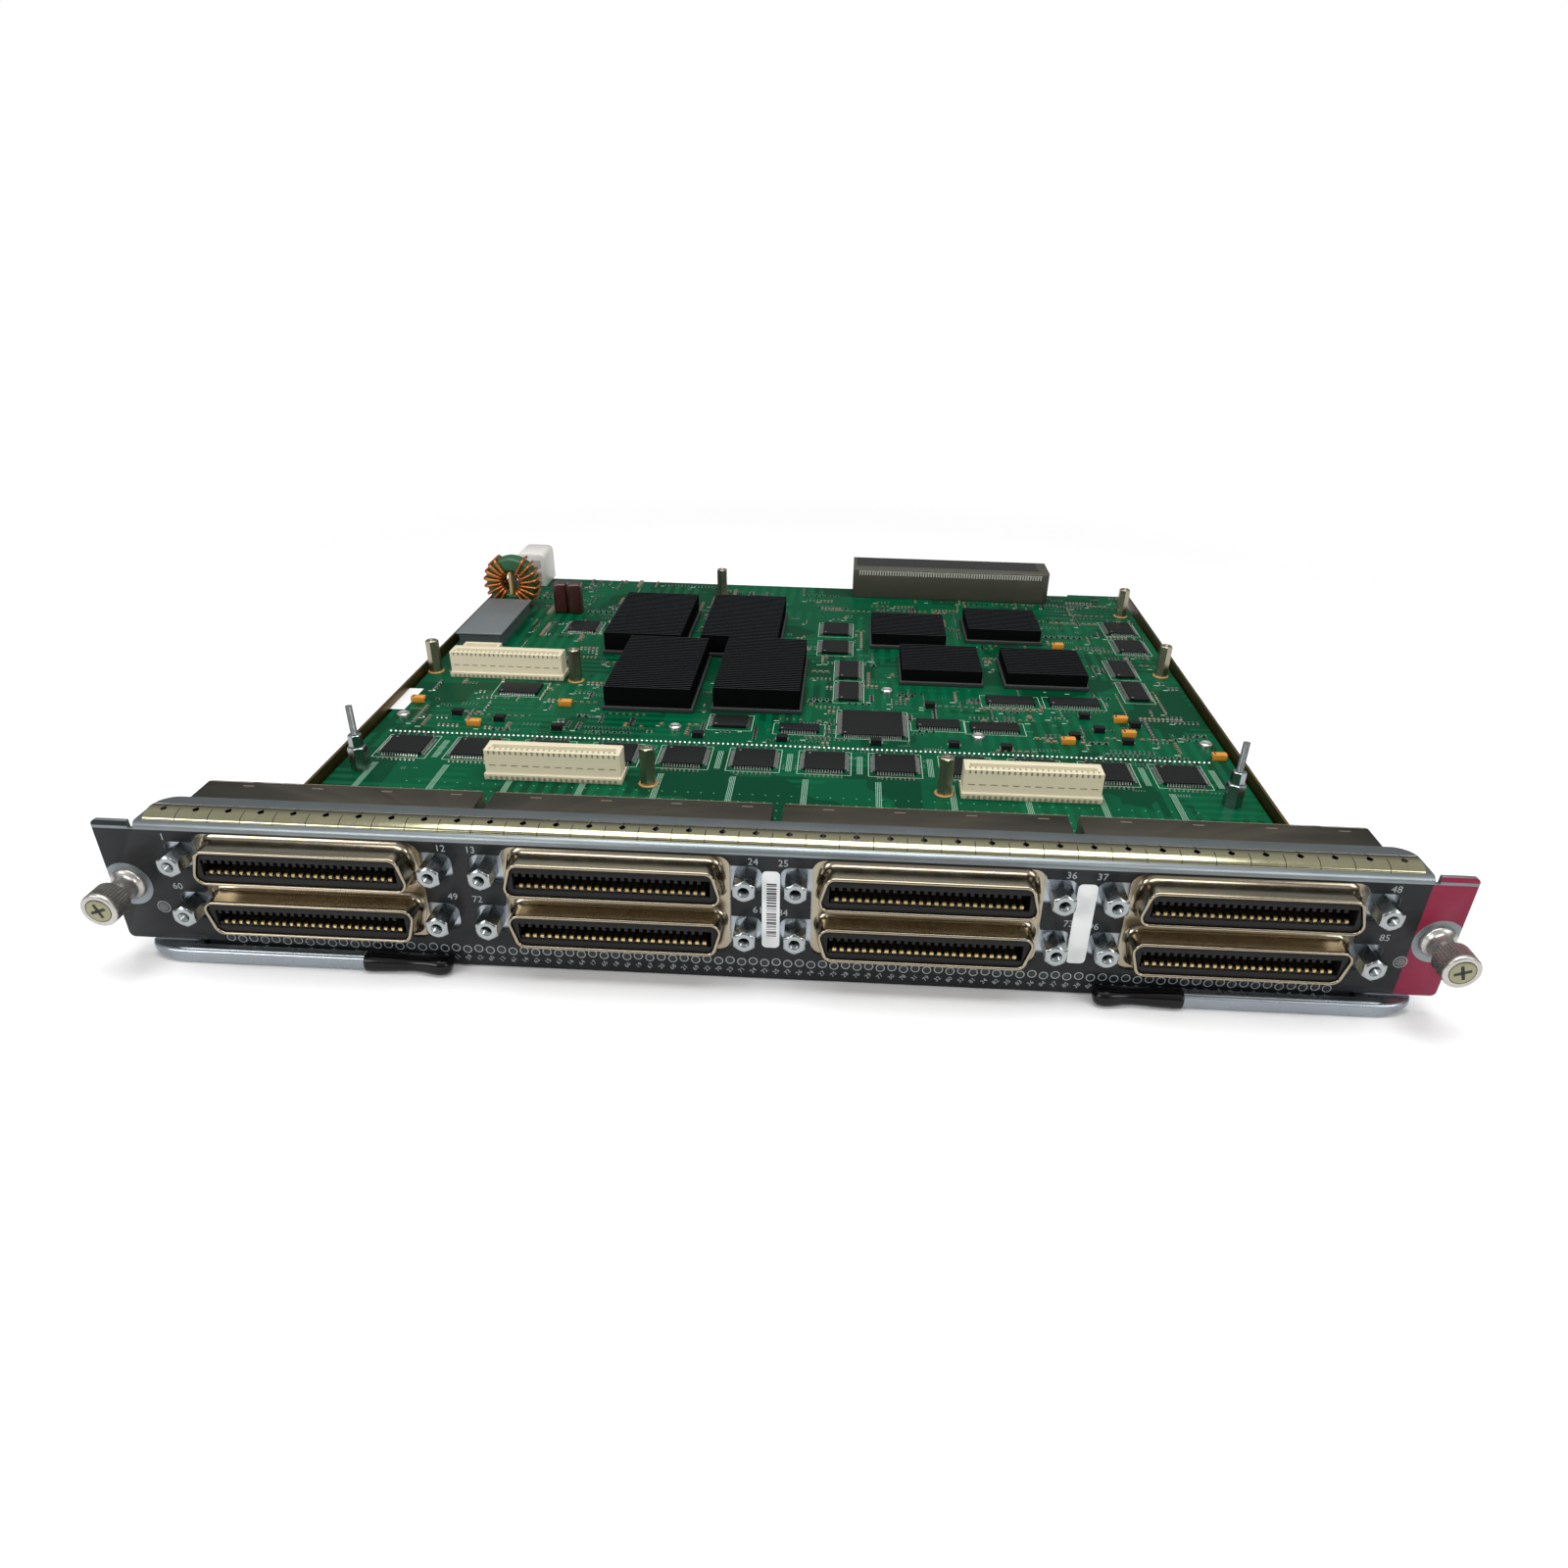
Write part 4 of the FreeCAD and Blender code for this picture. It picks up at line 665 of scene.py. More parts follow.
def flat_ring(inner, outer, steps=20):
    """A thin ring in the faceplate's plane."""
    loops = []
    for radius in (inner, outer):
        loops.append([(radius * math.cos(2 * math.pi * k / steps), -PRINT_LIFT,
                       radius * math.sin(2 * math.pi * k / steps)) for k in range(steps)])
    return loft(loops)


LAMP_PITCH = 3.451
LAMP_COUNT = 48


def lamp_rings():
    """The rows of printed rings round the port lamps, with a dark lamp window in each."""
    radius = settings().lamp_radius / MM
    first = -LAMP_PITCH * (2 * LAMP_COUNT - 1) / 2
    shape = flat_ring(radius - 0.27, radius)
    points, faces = shape
    for name, begin, height in (("lamp_rings_upper", first, 6.75), ("lamp_rings_lower", first + LAMP_PITCH,
                                                                    6.35)):
        moved = [(x + begin, y, z + height) for x, y, z in points]
        rows(name, (moved, faces), print_grey(), (LAMP_COUNT, (2 * LAMP_PITCH, 0, 0)), slot="face_paint")
    lens = spun([(0, -0.03), (radius * 0.62, -0.03), (radius * 0.7, 0.0)], (0, 0, 0), 14)
    moved = [(x + first, y, z + 6.55) for x, y, z in lens[0]]
    rows("lamp_lenses", (moved, lens[1]), finish("lamp_lens", "15191a", 0.3, 0.0, 0.8, 0.1),
         (2 * LAMP_COUNT, (LAMP_PITCH, 0, 0)), slot="face_paint", sharp=40)


def port_numbers():
    """Plain port numbers: small slanted ones under the lamps, larger ones beside the jackscrews."""
    first = -LAMP_PITCH * (2 * LAMP_COUNT - 1) / 2
    small = []
    for k in range(LAMP_COUNT):
        small.append((str(k + 1), first + LAMP_PITCH * 2 * k, 3.3))
        small.append((str(k + 1 + LAMP_COUNT), first + LAMP_PITCH * (2 * k + 1), 3.3))
    words("lamp_numbers", small, print_grey(), 2.0, math.radians(48))
    large = []
    for column in range(4):
        middle = (column - 1.5) * 89.5
        low = 12 * column + 1
        large += [(str(low), middle - 41.3, 40.9), (str(low + 11), middle + 39.6, 41.0),
                  (str(60 + 12 * column), middle - 41.3, 24.3), (str(49 + 12 * column), middle + 41.0, 24.9)]
    words("port_numbers", large, print_grey(), 3.1)


def status_lamps():
    """A lamp with a printed ring on each wing."""
    for side, x, z in (("left", -181.8, 16.8), ("right", 182.0, 16.9)):
        ring = [(px + x, py, pz + z) for px, py, pz in flat_ring(1.75, 2.0, 28)[0]]
        piece("status_ring_" + side, mesh_of("status_ring", ring, flat_ring(1.75, 2.0, 28)[1]), print_grey(),
              CARD)
        lens = spun([(0, -0.25), (0.9, -0.2), (1.45, 0.0)], (x, 0, z), 24)
        piece("status_lamp_" + side, outward(mesh_of("status_lamp", *lens)),
              finish("status_lens", "5b5f5d", 0.35, 0.0, 0.8, 0.1), CARD, sharp=40)


def label(name, x, low, high, width, lift, ink):
    """A pale stuck-on label with rounded corners; plain bars stand for its print."""
    edge = oblong(x - width / 2, x + width / 2, low, high, 1.4)
    back = [(px, 0.0, pz) for px, pz in edge]
    front = [(px, -lift, pz) for px, pz in edge]
    piece(name, outward(mesh_of(name, *loft([back, front], True, True))),
          finish("label_paper", "e4e6e6", 0.5, 0.0, 1.0, 0.03), CARD, sharp=40)
    if ink:
        chance = random.Random(3)
        bars = []
        z = low + 4.2
        while z < high - 4.2:
            thick = chance.choice((0.16, 0.3, 0.3, 0.5))
            bars.append((x + 0.2, -lift - 0.01, z, width * 0.55, 0.02, thick))
            z += thick + chance.choice((0.2, 0.3, 0.45))
        blocks(name + "_bars", bars, finish("label_ink", "1a1a1c", 0.5), slot="face_paint")


def faceplate():
    softened("faceplate", faceplate_finish(), 0.00022)
    lamp_rings()
    port_numbers()
    status_lamps()
    label("bar_label", 0.0, 12.0, 38.2, 5.2, 0.12, True)
    label("plain_label", 89.5, 11.4, 38.4, 5.6, 0.12, False)


# ---- spring finger strip ---------------------------------------------------------------------------
FINGERS = 38


def finger_strip():
    """Half-round fingers on the flange: a slit between them in front, a round hole and a slit behind."""
    low, high = (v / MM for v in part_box("emi_finger_strip"))
    pitch = (high.x - low.x) / FINGERS
    sheet = 0.16
    base, middle = low.z + 0.02, (low.y + high.y) / 2
    rise, reach = high.z - base - sheet - 0.02, (high.y - low.y) / 2 - 0.03
    steps, half, hole, slit, parting, ahead = 32, pitch / 2, 0.95, 0.12, 0.1, 0.8
    parts = []
    for side in (-1, 1):
        inner, outer = [], []
        for k in range(steps + 1):
            turn = math.pi * k / steps
            y, z = -math.cos(turn), math.sin(turn)
            away = y * reach + ahead
            gap = math.sqrt(max(0.0, hole * hole - away * away)) if abs(away) < hole else 0.02
            if away > 0:
                gap = max(gap, slit)
            edge = half - (parting if away < hole * 0.5 else 0.0)
            across = [gap + (edge - gap) * j / 4 for j in range(5)]
            inner.append([(side * x, middle + y * (reach - sheet), base + z * rise) for x in across])
            outer.append([(side * x, middle + y * reach, base + z * (rise + sheet)) for x in across])
        parts.append(loft([line + list(reversed(over)) for line, over in zip(inner, outer)], True, True))
    points, faces = join(parts)
    start = low.x + half
    mesh = outward(mesh_of("finger", [(x + start, y, z) for x, y, z in points], faces))
    values = {"Count A": FINGERS, "Step A": (pitch * MM, 0, 0)}
    grown("finger_strip", "rows", mesh, spring_bronze(), values, slot="spring_bronze",
          replaces=["emi_finger_strip"], sharp=30)


# ---- socket shells ---------------------------------------------------------------------------------
COLUMN = 89.5
SHELL_WALL = 1.0


def nose_loop(row, wide_up, inset, y, radius, steps=7):
    """A shell's outline at one depth: its wide side faces the other socket."""
    half, lean, rise = 31.75 - inset, 2.8, 5.7 - inset
    bottom, top = (half - lean, half) if wide_up else (half, half - lean)
    corners = [(-bottom, row - rise), (bottom, row - rise), (top, row + rise), (-top, row + rise)]
    return [(x, y, z) for x, z in rounded(corners, radius, steps)]


def shells():
    """Bright drawn noses with a rolled rim and a wide root on their shared plate."""
    for row, wide_up, name in ((35.0, False, "upper"), (18.0, True, "lower")):
        loops = []
        # inset, depth, corner radius from the root to the rolled rim and back inside
        run = [(-1.5, 0.62, 4.4), (-1.1, 0.45, 4.1), (-0.6, 0.05, 3.8), (-0.28, -0.5, 3.5), (-0.08, -1.3, 3.3),
               (0.0, -2.3, 3.2), (0.0, -6.0, 3.2)]
        for k in range(9):
            turn = math.pi * k / 8
            run.append((SHELL_WALL / 2 - SHELL_WALL / 2 * math.cos(turn), -6.45 - 0.5 * math.sin(turn),
                        3.2 - SHELL_WALL / 2 + SHELL_WALL / 2 * math.cos(turn)))
        run += [(SHELL_WALL, -5.9, 2.2), (SHELL_WALL, 1.2, 2.2)]
        for inset, y, radius in run:
            loops.append(nose_loop(row, wide_up, inset, y, radius))
        points, faces = loft(loops)
        start = -1.5 * COLUMN
        mesh = outward(mesh_of("nose", [(x + start, y, z) for x, y, z in points], faces))
        grown("shell_noses_" + name, "rows", mesh, shell_nickel(),
              {"Count A": 4, "Step A": (COLUMN * MM, 0, 0)}, slot="nickel_shell", sharp=50)
    low, high = (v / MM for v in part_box("port_shell_1"))
    rim = oblong(low.x + 0.05, high.x - 0.05, low.z, high.z, 3.6, 6)
    parts = []
    for y in (0.72, 1.45):
        parts.append([(x, y, z) for x, z in rim])
    plate = outward(mesh_of("shell_plate", *loft(parts, True, True)))
    grown("shell_plates", "rows", plate, shell_nickel(), {"Count A": 4, "Step A": (COLUMN * MM, 0, 0)},
          slot="nickel_shell", replaces=["port_shell_%d" % n for n in range(1, 5)], sharp=40)


# ---- jackscrews, mouldings and contacts ------------------------------------------------------------
def hex_radius(angle, flats):
    """Distance from a hexagon's middle to its side in a direction."""
    turn = (angle + math.pi / 6) % (math.pi / 3) - math.pi / 6
    return flats / 2 / math.cos(turn)


def hex_bar(flats, start, end, nose=0.3, steps=36, bore=0.0, thread=0.0, deep=0.0):
    """Loops of a hexagonal bar along Y with a coned front and, where wanted, a threaded bore."""
    def ring(radius, y):
        return [(radius * math.cos(a), y, radius * math.sin(a)) for a in turns]

    turns = [2 * math.pi * k / steps for k in range(steps)]
    loops = []
    if bore:
        loops.append(ring(0.05, start + deep))
        crest = int(deep / 0.25)
        for k in range(crest, 0, -1):
            loops.append(ring(bore + (thread if k % 2 else 0.0), start + 0.25 * k))
        loops.append(ring(bore + 0.25, start))
    face = flats / 2 - nose
    loops.append(ring(face, start))
    for k in range(1, 6):
        reach = 0.16 * k
        loops.append([(min(hex_radius(a, flats), face + 1.75 * reach) * math.cos(a), start + reach,
                       min(hex_radius(a, flats), face + 1.75 * reach) * math.sin(a)) for a in turns])
    for y in (start + 1.0, end):
        loops.append([(hex_radius(a, flats) * math.cos(a), y, hex_radius(a, flats) * math.sin(a))
                      for a in turns])
    return loft(loops, True, True)


def jackscrews():
    low, high = (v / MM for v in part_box("jackscrews"))
    span = high.x - low.x - 6.35 / math.cos(math.pi / 6)
    points, faces = hex_bar(6.3, low.y, high.y, 0.35, 48, 1.42, 0.22, 5.5)
    start = low.x + (high.x - low.x - span) / 2
    mesh = outward(mesh_of("jack", [(x + start, y, z + 18.0) for x, y, z in points], faces))
    grown("jackscrews_bright", "rows", mesh, jack_steel(),
          {"Count A": 4, "Step A": (COLUMN * MM, 0, 0), "Count B": 2, "Step B": (74.93 * MM, 0, 0),
           "Count C": 2, "Step C": (0, 0, 17 * MM)}, slot="jack_steel", replaces=["jackscrews"], sharp=22)


CONTACT_PITCH = 2.159
CONTACTS = 25


def housings():
    for n in range(1, 5):
        softened("port_housing_%d" % n, black_moulding(), 0.00025)
    first = -1.5 * COLUMN - CONTACT_PITCH * (CONTACTS - 1) / 2
    runs = [(CONTACTS, (CONTACT_PITCH, 0, 0)), (4, (COLUMN, 0, 0)), (2, (0, 0, 17))]
    rib = 0.5
    lower = block(first - 1.08 - rib, first - 1.08 + rib, -5.9, 2.0, 18 - 2.62, 18 - 1.5)
    upper = block(first - 1.08 - rib, first - 1.08 + rib, -5.6, 2.0, 18 + 1.2, 18 + 2.62)
    rows("comb_lower", lower, black_moulding(), *runs, slot="black_moulding")
    rows("comb_upper", upper, black_moulding(), *runs, slot="black_moulding")


def contact_strip(x, z, up, width, first=0, last=7):
    """One sprung contact, or a stretch of it: a strip that dips into the slot behind a rounded nose."""
    run = [(-5.35, 0.30), (-5.6, 0.62), (-5.45, 1.12), (-5.0, 1.3), (-3.4, 1.15), (-1.5, 0.9), (2.2, 0.5)]
    if up < 0:
        run = [(y * 0.5 + 1.1, rise * 0.8) for y, rise in run]
    loops = []
    for y, rise in run[first:last]:
        loops.append([(x - width / 2, y, z + up * rise), (x + width / 2, y, z + up * rise),
                      (x + width / 2, y + 0.05, z + up * (rise - 0.28)),
                      (x - width / 2, y + 0.05, z + up * (rise - 0.28))])
    return loft(loops, True, True)


def contacts():
    """Two rows of contacts in each slot: gilt tips on the lower row; its springs and the whole upper row are
    dark bronze, painted shade in the slot.
    """
    first = -1.5 * COLUMN - CONTACT_PITCH * (CONTACTS - 1) / 2
    names = ["port_contacts_%d" % n for n in range(1, 5)]
    runs = {"Count A": CONTACTS, "Step A": (CONTACT_PITCH * MM, 0, 0), "Count B": 4,
            "Step B": (COLUMN * MM, 0, 0), "Count C": 2, "Step C": (0, 0, 17 * MM)}
    tip = outward(mesh_of("contact_tip", *contact_strip(first, 18 - 2.6, 1, 1.1, 0, 4)))
    grown("contact_tips", "rows", tip, gold(), runs, slot="gold_contact", replaces=names, sharp=50)
    # the springs behind the lower tips: dark bronze as painted shade in the slot
    spring = outward(mesh_of("contact_spring", *contact_strip(first, 18 - 2.6, 1, 1.1, 3)))
    grown("contact_springs", "rows", spring, phosphor_bronze(), runs, slot="gold_contact", sharp=50)
    # the upper row: all dark bronze, painted shade under the slot's top lip
    high = outward(mesh_of("contact_high", *contact_strip(first, 18 + 2.6, -1, 0.9)))
    grown("contacts_upper", "rows", high, phosphor_bronze(), runs, slot="gold_contact", sharp=50)


# ---- levers and grips ------------------------------------------------------------------------------
def lever_sheet(side):
    """A folded lever: flat top, rolled front bend, a skirt that fades into a curved blade at the tip."""
    low, high = (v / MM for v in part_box("lever_left"))
    tip, inner, front = -low.x, -high.x, low.y
    top, sheet, bottom, bend = 4.6, 1.2, 0.4, 1.1
    curve_start = tip - 11.6
    loops = []
    stops = [inner + (curve_start - inner) * k / 8 for k in range(9)]
    stops += [curve_start + (tip - 0.03 - curve_start) * math.sin(math.pi / 2 * k / 14) for k in range(1, 15)]
    stops.insert(9, 172.59)
    stops.insert(10, 172.62)
    stops.sort()
    for x in stops:
        u = max(0.0, (x - curve_start) / (tip - curve_start))
        fore = front + 5.3 * (1 - math.sqrt(max(0.0, 1 - u * u)))
        rear = -1.0 if x < 172.6 else 9.0
        if x > 184.4:
            rear = 9.0 - (9.0 - 0.6) * (x - 184.4) / (tip - 184.4)
        rear = max(rear, fore + 0.1)
        deep = bottom + (top - sheet - bottom) * u ** 1.6
        curl = min(bend, (rear - fore) * 0.9)
        loop = [(rear, top), (fore + curl + 0.01, top)]
        for k in range(1, 6):
            turn = math.pi / 2 * k / 5
            loop.append((fore + curl - curl * math.sin(turn), top - curl + curl * math.cos(turn)))
        wall = min(sheet, (rear - fore) * 0.8)
        loop += [(fore, min(deep, top - curl - 0.01)), (fore + wall, min(deep, top - curl - 0.01)),
                 (fore + wall, top - sheet - 0.2), (rear, top - sheet)]
        loops.append([(side * x, y, z) for y, z in loop])
    eye = []
    for z in (top - sheet, top):
        turns = [2 * math.pi * k / 32 for k in range(32)]
        eye.append([(side * 177 + 7.4 * math.cos(turn), 9 + 7.4 * math.sin(turn), z) for turn in turns])
    return join([loft(loops, True, True), loft(eye, True, True)])


def lever_rib(side):
    """The pressed rib along the lever's front, with rounded ends."""
    loops = []
    for k in range(24):
        share = k / 23
        x = 121.6 + (179.6 - 121.6) * share
        swell = min(1.0, math.sqrt(max(0.0, 1 - max(0.0, (share - 0.97) / 0.03) ** 2)) + 0.02)
        loop = []
        for j in range(9):
            turn = math.pi * j / 8
            loop.append((side * x, -3.3 - 0.85 * swell * math.cos(turn), 4.55 + 0.5 * swell * math.sin(turn)))
        loops.append(loop)
    return loft(loops, True, True)


def grip_loops(side):
    """Dipped vinyl: a crisp sleeve edge, a waist and a bulb at the end."""
    # distance out, front, rear, bottom, top
    run = [(121.45, -5.9, -0.85, 0.5, 5.2), (121.4, -6.25, -0.55, 0.15, 5.5), (120.8, -6.4, -0.45, 0.05, 5.62),
           (117, -6.35, -0.45, 0.08, 5.6), (112, -6.1, -0.7, 0.3, 5.35), (108.5, -5.85, -0.9, 0.5, 5.1),
           (105, -5.9, -0.95, 0.45, 5.05), (102, -6.5, -0.8, 0.2, 5.35), (99.6, -6.9, -0.6, 0.1, 5.55),
           (97.6, -6.8, -0.8, 0.3, 5.4), (96.2, -6.2, -1.4, 0.9, 4.9), (95.5, -5.2, -2.4, 1.8, 4.0)]
    loops = []
    for x, fore, rear, low, high in run:
        loops.append([(side * x, y, z) for y, z in oblong(fore, rear, low, high,
                                                          0.42 * min(rear - fore, high - low), 4)])
    return loft(loops, True, True)


def levers():
    for side, sign in SIDES.items():
        body = "lever_body_" + side
        piece("lever_folded_" + side, outward(mesh_of("lever", *lever_sheet(sign))), zinc(), body,
              ["lever_" + side], sharp=32)
        piece("lever_rib_" + side, outward(mesh_of("lever_rib", *lever_rib(sign))), zinc(), body,
              sharp=60)
        vinyl = finish("dipped_vinyl", settings().grip, 0.22, 0.0, 6.0, 0.1, 0.05, coat=0.06, shine=0.22)
        grip = piece("grip_dipped_" + side, outward(mesh_of("grip", *grip_loops(sign))), vinyl, body,
                     ["grip_" + side], sharp=75)
        work = bmesh.new()
        work.from_mesh(grip.data)
        bmesh.ops.subdivide_edges(work, edges=work.edges, cuts=1, use_grid_fill=True, smooth=1.0)
        work.to_mesh(grip.data)
        work.free()
    softened("lever_pivots", zinc(), 0.0002)


# ---- captive screws --------------------------------------------------------------------------------
def knurled(centre, front, rear, radius, teeth=38):
    """A fine straight knurl between rounded ends."""
    loops = []
    run = [(-0.75, front + 0.02, 0), (-0.3, front + 0.1, 0), (-0.08, front + 0.32, 0), (0, front + 0.75, 0),
           (0.0, front + 1.3, 0), (0.0, front + 1.5, 1), (0.0, rear - 0.7, 1), (-0.1, rear - 0.45, 0.6),
           (-0.45, rear - 0.05, 0), (-1.0, rear, 0)]
    for shrink, y, cutting in run:
        loop = []
        for k in range(teeth * 4):
            a = 2 * math.pi * k / (teeth * 4)
            wave = (0.0, 0.55, 1.0, 0.55)[k % 4] * 0.42 * cutting
            r = radius + shrink - wave
            loop.append((centre[0] + r * math.cos(a), y, centre[1] + r * math.sin(a)))
        loops.append(loop)
    return loops


def phillips(centre, y, depth, arm, width):
    """A disc's cross recess as four wedge slots meeting in a pit, drawn as dark faces set in."""
    shapes = []
    for k in range(4):
        a = math.pi / 2 * k + math.radians(20)
        c, s = math.cos(a), math.sin(a)
        corners = [(0.0, -width / 2), (arm, -width * 0.42), (arm, width * 0.42), (0.0, width / 2)]
        top = [(centre[0] + u * c - v * s, y, centre[1] + u * s + v * c) for u, v in corners]
        pit = [(centre[0] + u * 0.55 * c - v * 0.4 * s, y - depth, centre[1] + u * 0.55 * s + v * 0.4 * c)
               for u, v in corners]
        shapes.append(loft([top, pit], False, True))
    return join(shapes)


def captive_screws():
    """Knurled knob with a recessed cross screw, its ferrule, and the thread drawn back behind it."""
    nickel = finish("knob_nickel", "b4b1ab", 0.3, 0.9, 1.5, 0.12, 0.01)
    olive = finish("screw_nickel", "8d8c72", 0.3, 1.0, 1.0, 0.12, 0.01)
    pit = finish("recess_shade", "17180f", 0.6, 0.0, 0.5, 0.1)
    for side in SIDES:
        low, high = (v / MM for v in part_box("thumb_knob_" + side))
        middle = ((low.x + high.x) / 2, (low.z + high.z) / 2)
        body = "screw_body_" + side
        front = low.y
        radius = (high.x - low.x) / 2 - 0.02
        loops = knurled(middle, front, high.y, radius)
        cup = []
        for r, y in ((3.72, front + 0.12), (3.66, front + 0.5), (3.66, front + 1.15), (1.6, front + 1.2)):
            count = len(loops[0])
            cup.append([(middle[0] + r * math.cos(2 * math.pi * k / count), y,
                         middle[1] + r * math.sin(2 * math.pi * k / count)) for k in range(count)])
        back = []
        for r, y in ((4.25, high.y), (4.25, high.y - 5.4), (1.6, high.y - 5.45)):
            back.append([(middle[0] + r * math.cos(2 * math.pi * k / count), y,
                          middle[1] + r * math.sin(2 * math.pi * k / count)) for k in range(count)])
        knob = outward(mesh_of("knob", *loft(list(reversed(cup)) + loops + back)))
        piece("knob_knurled_" + side, knob, nickel, body, ["thumb_knob_" + side], sharp=38)
        head = spun([(0, front - 0.02), (3.2, front - 0.02), (3.5, front + 0.1), (3.55, front + 0.4),
                     (3.55, front + 1.1), (1.5, front + 1.2), (1.5, -4.5), (1.74, -4.3), (1.74, -1.35),
                     (1.0, -0.78), (0, -0.75)], (middle[0], 0, middle[1]), 40)
        piece("captive_screw_turned_" + side, outward(mesh_of("screw", *head)), olive, body,
              ["captive_screw_" + side], sharp=30)
        cross = mesh_of("recess", *phillips(middle, front - 0.07, -0.02, 2.35, 1.0))
        piece("cross_recess_" + side, cross, pit, body, sharp=30)
        collar = spun([(2.36, -6.8), (3.1, -7.0), (3.55, -6.9), (3.78, -6.5), (3.8, -5.9), (3.55, -5.6),
                       (3.5, -3.2), (3.6, -2.2), (3.95, -1.4), (4.7, -0.95), (5.02, -0.62), (5.08, -0.3),
                       (5.0, 0.0), (3.78, 0.0), (3.78, 2.9), (3.06, 2.95), (3.06, -6.0), (2.36, -6.05)],
                      (middle[0], 0, middle[1]), 48)
        shape = loft_closed(collar, 48)
        piece("ferrule_domed_" + side, outward(mesh_of("ferrule", *shape)), nickel, CARD,
              ["ferrule_" + side], sharp=40)
        dress("retaining_ring_" + side, nickel)


def loft_closed(shape, steps):
    """Drop a turned shape's end caps and join its last loop to its first."""
    points, faces = shape
    faces = [face for face in faces if len(face) == 4]
    last = len(points) - steps
    for i in range(steps):
        j = (i + 1) % steps
        faces.append((last + i, last + j, j, i))
    return points, faces


# ---- shield cans -----------------------------------------------------------------------------------
def shield_cans():
    """Folded cans behind the flange, with pale pressed clip marks and a pale strip along the rear edge as its
    painted highlight.
    """
    marks = []
    for n in range(1, 5):
        node = "shield_can_%d" % n
        softened(node, can_sheet(), 0.0003)
        low, high = (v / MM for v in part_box(node))
        for k in range(4):
            x = low.x + (high.x - low.x) * (k + 0.5) / 4 + 3
            marks.append((x, high.y - 3.0, high.z + 0.005, 3.4, 0.5, 0.05))
            marks.append((x, high.y + 0.02, high.z - 1.9, 3.0, 0.24, 2.6))
        # a pale strip along the top's rear edge: painted highlight of the fold
        marks.append(((low.x + high.x) / 2, high.y - 0.28, high.z + 0.01, high.x - low.x - 1, 0.3, 0.05))
    blocks("can_marks", marks, finish("can_marks_and_edge_highlight", "b8ad98", 0.3, 1.0, 1.0, 0.1), slot="nickel_sheet")


# ---- circuit board ---------------------------------------------------------------------------------
BOARD_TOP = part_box("main_board")[1].z / MM


def board_finish():
    """Green solder mask over copper: lighter where copper lies under it, traces as faint ribs."""
    made, tree, shader = principled("solder_mask")
    link = tree.links.new
    place = add(tree, "ShaderNodeTexCoord").outputs["Object"]
    spot = add(tree, "ShaderNodeSeparateXYZ", {0: place}).outputs
    # copper pours: squarish patches about 25 mm across
    pour = add(tree, "ShaderNodeTexVoronoi", {"Vector": place, "Scale": 38.0, "Randomness": 0.85},
               distance="CHEBYCHEV").outputs["Color"]
    pour = add(tree, "ShaderNodeSeparateColor", {0: pour}).outputs[0]
    # traces: bands of fine lines, drawn 0.9 mm apart, which is coarser than real ones so that they show
    lines_y = add(tree, "ShaderNodeTexWave", {"Vector": place, "Scale": 55.0, "Distortion": 0.0},
                  bands_direction="X").outputs["Fac"]
    lines_x = add(tree, "ShaderNodeTexWave", {"Vector": place, "Scale": 55.0, "Distortion": 0.0},
                  bands_direction="Y").outputs["Fac"]
    region = add(tree, "ShaderNodeTexVoronoi", {"Vector": place, "Scale": 26.0}, distance="MANHATTAN")
    cell = add(tree, "ShaderNodeSeparateColor", {0: region.outputs["Color"]}).outputs
    lines = add(tree, "ShaderNodeMix", {"Factor": compare(tree, cell[0], 0.5, 0.01), 2: lines_x, 3: lines_y},
                data_type="FLOAT").outputs[0]
    traced = both(tree, compare(tree, lines, 0.55, 0.2), compare(tree, cell[1], 0.35, 0.01))
    # via dots on a 1.9 mm grid
    grid = add(tree, "ShaderNodeTexVoronoi", {"Vector": place, "Scale": 1 / (1.9 * MM), "Randomness": 0.0},
               feature="F1", voronoi_dimensions="3D").outputs["Distance"]
    front = both(tree, both(tree, compare(tree, spot["Y"], 0.1275, 0.0002), 1.0, "SUBTRACT"), -1.0)
    dots = both(tree, both(tree, both(tree, compare(tree, grid, 0.33, 0.03), 1.0, "SUBTRACT"), -1.0), front)
    mask = settings().mask
    ground = blend(tree, compare(tree, pour, 0.5, 0.01), tinted(mask, 0.62), tinted(mask, 1.0))
    ground = blend(tree, both(tree, traced, 0.55), ground, tinted(mask, 1.55))
    ground = blend(tree, both(tree, dots, 0.5), ground, tinted(mask, 0.38))
    side = both(tree, both(tree, compare(tree, spot["Z"], (BOARD_TOP - 0.15) * MM), 1.0, "SUBTRACT"), -1.0)
    link(blend(tree, side, ground, srgb("8a7a3e")), shader.inputs["Base Color"])
    fine = wander(tree, 0.8)
    link(spread(tree, fine.outputs["Fac"], 0.3, 0.42), shader.inputs["Roughness"])
    shader.inputs["Specular IOR Level"].default_value = 0.04
    ribs = both(tree, both(tree, traced, 0.6), both(tree, dots, 0.4), "ADD")
    height = add(tree, "ShaderNodeBump", {"Height": ribs, "Strength": 0.6, "Distance": 0.05 * MM})
    link(height.outputs["Normal"], shader.inputs["Normal"])
    return made


def on_board(name, marks, material, lift=0.03, slot="board_mask"):
    """Thin printed or plated patches lying on the board: (x, y, width, depth, turn)."""
    boxes = [(m[0], m[1], BOARD_TOP + lift / 2, m[2], m[3], lift, m[4] if len(m) > 4 else 0.0) for m in marks]
    return blocks(name, boxes, material, slot=slot)


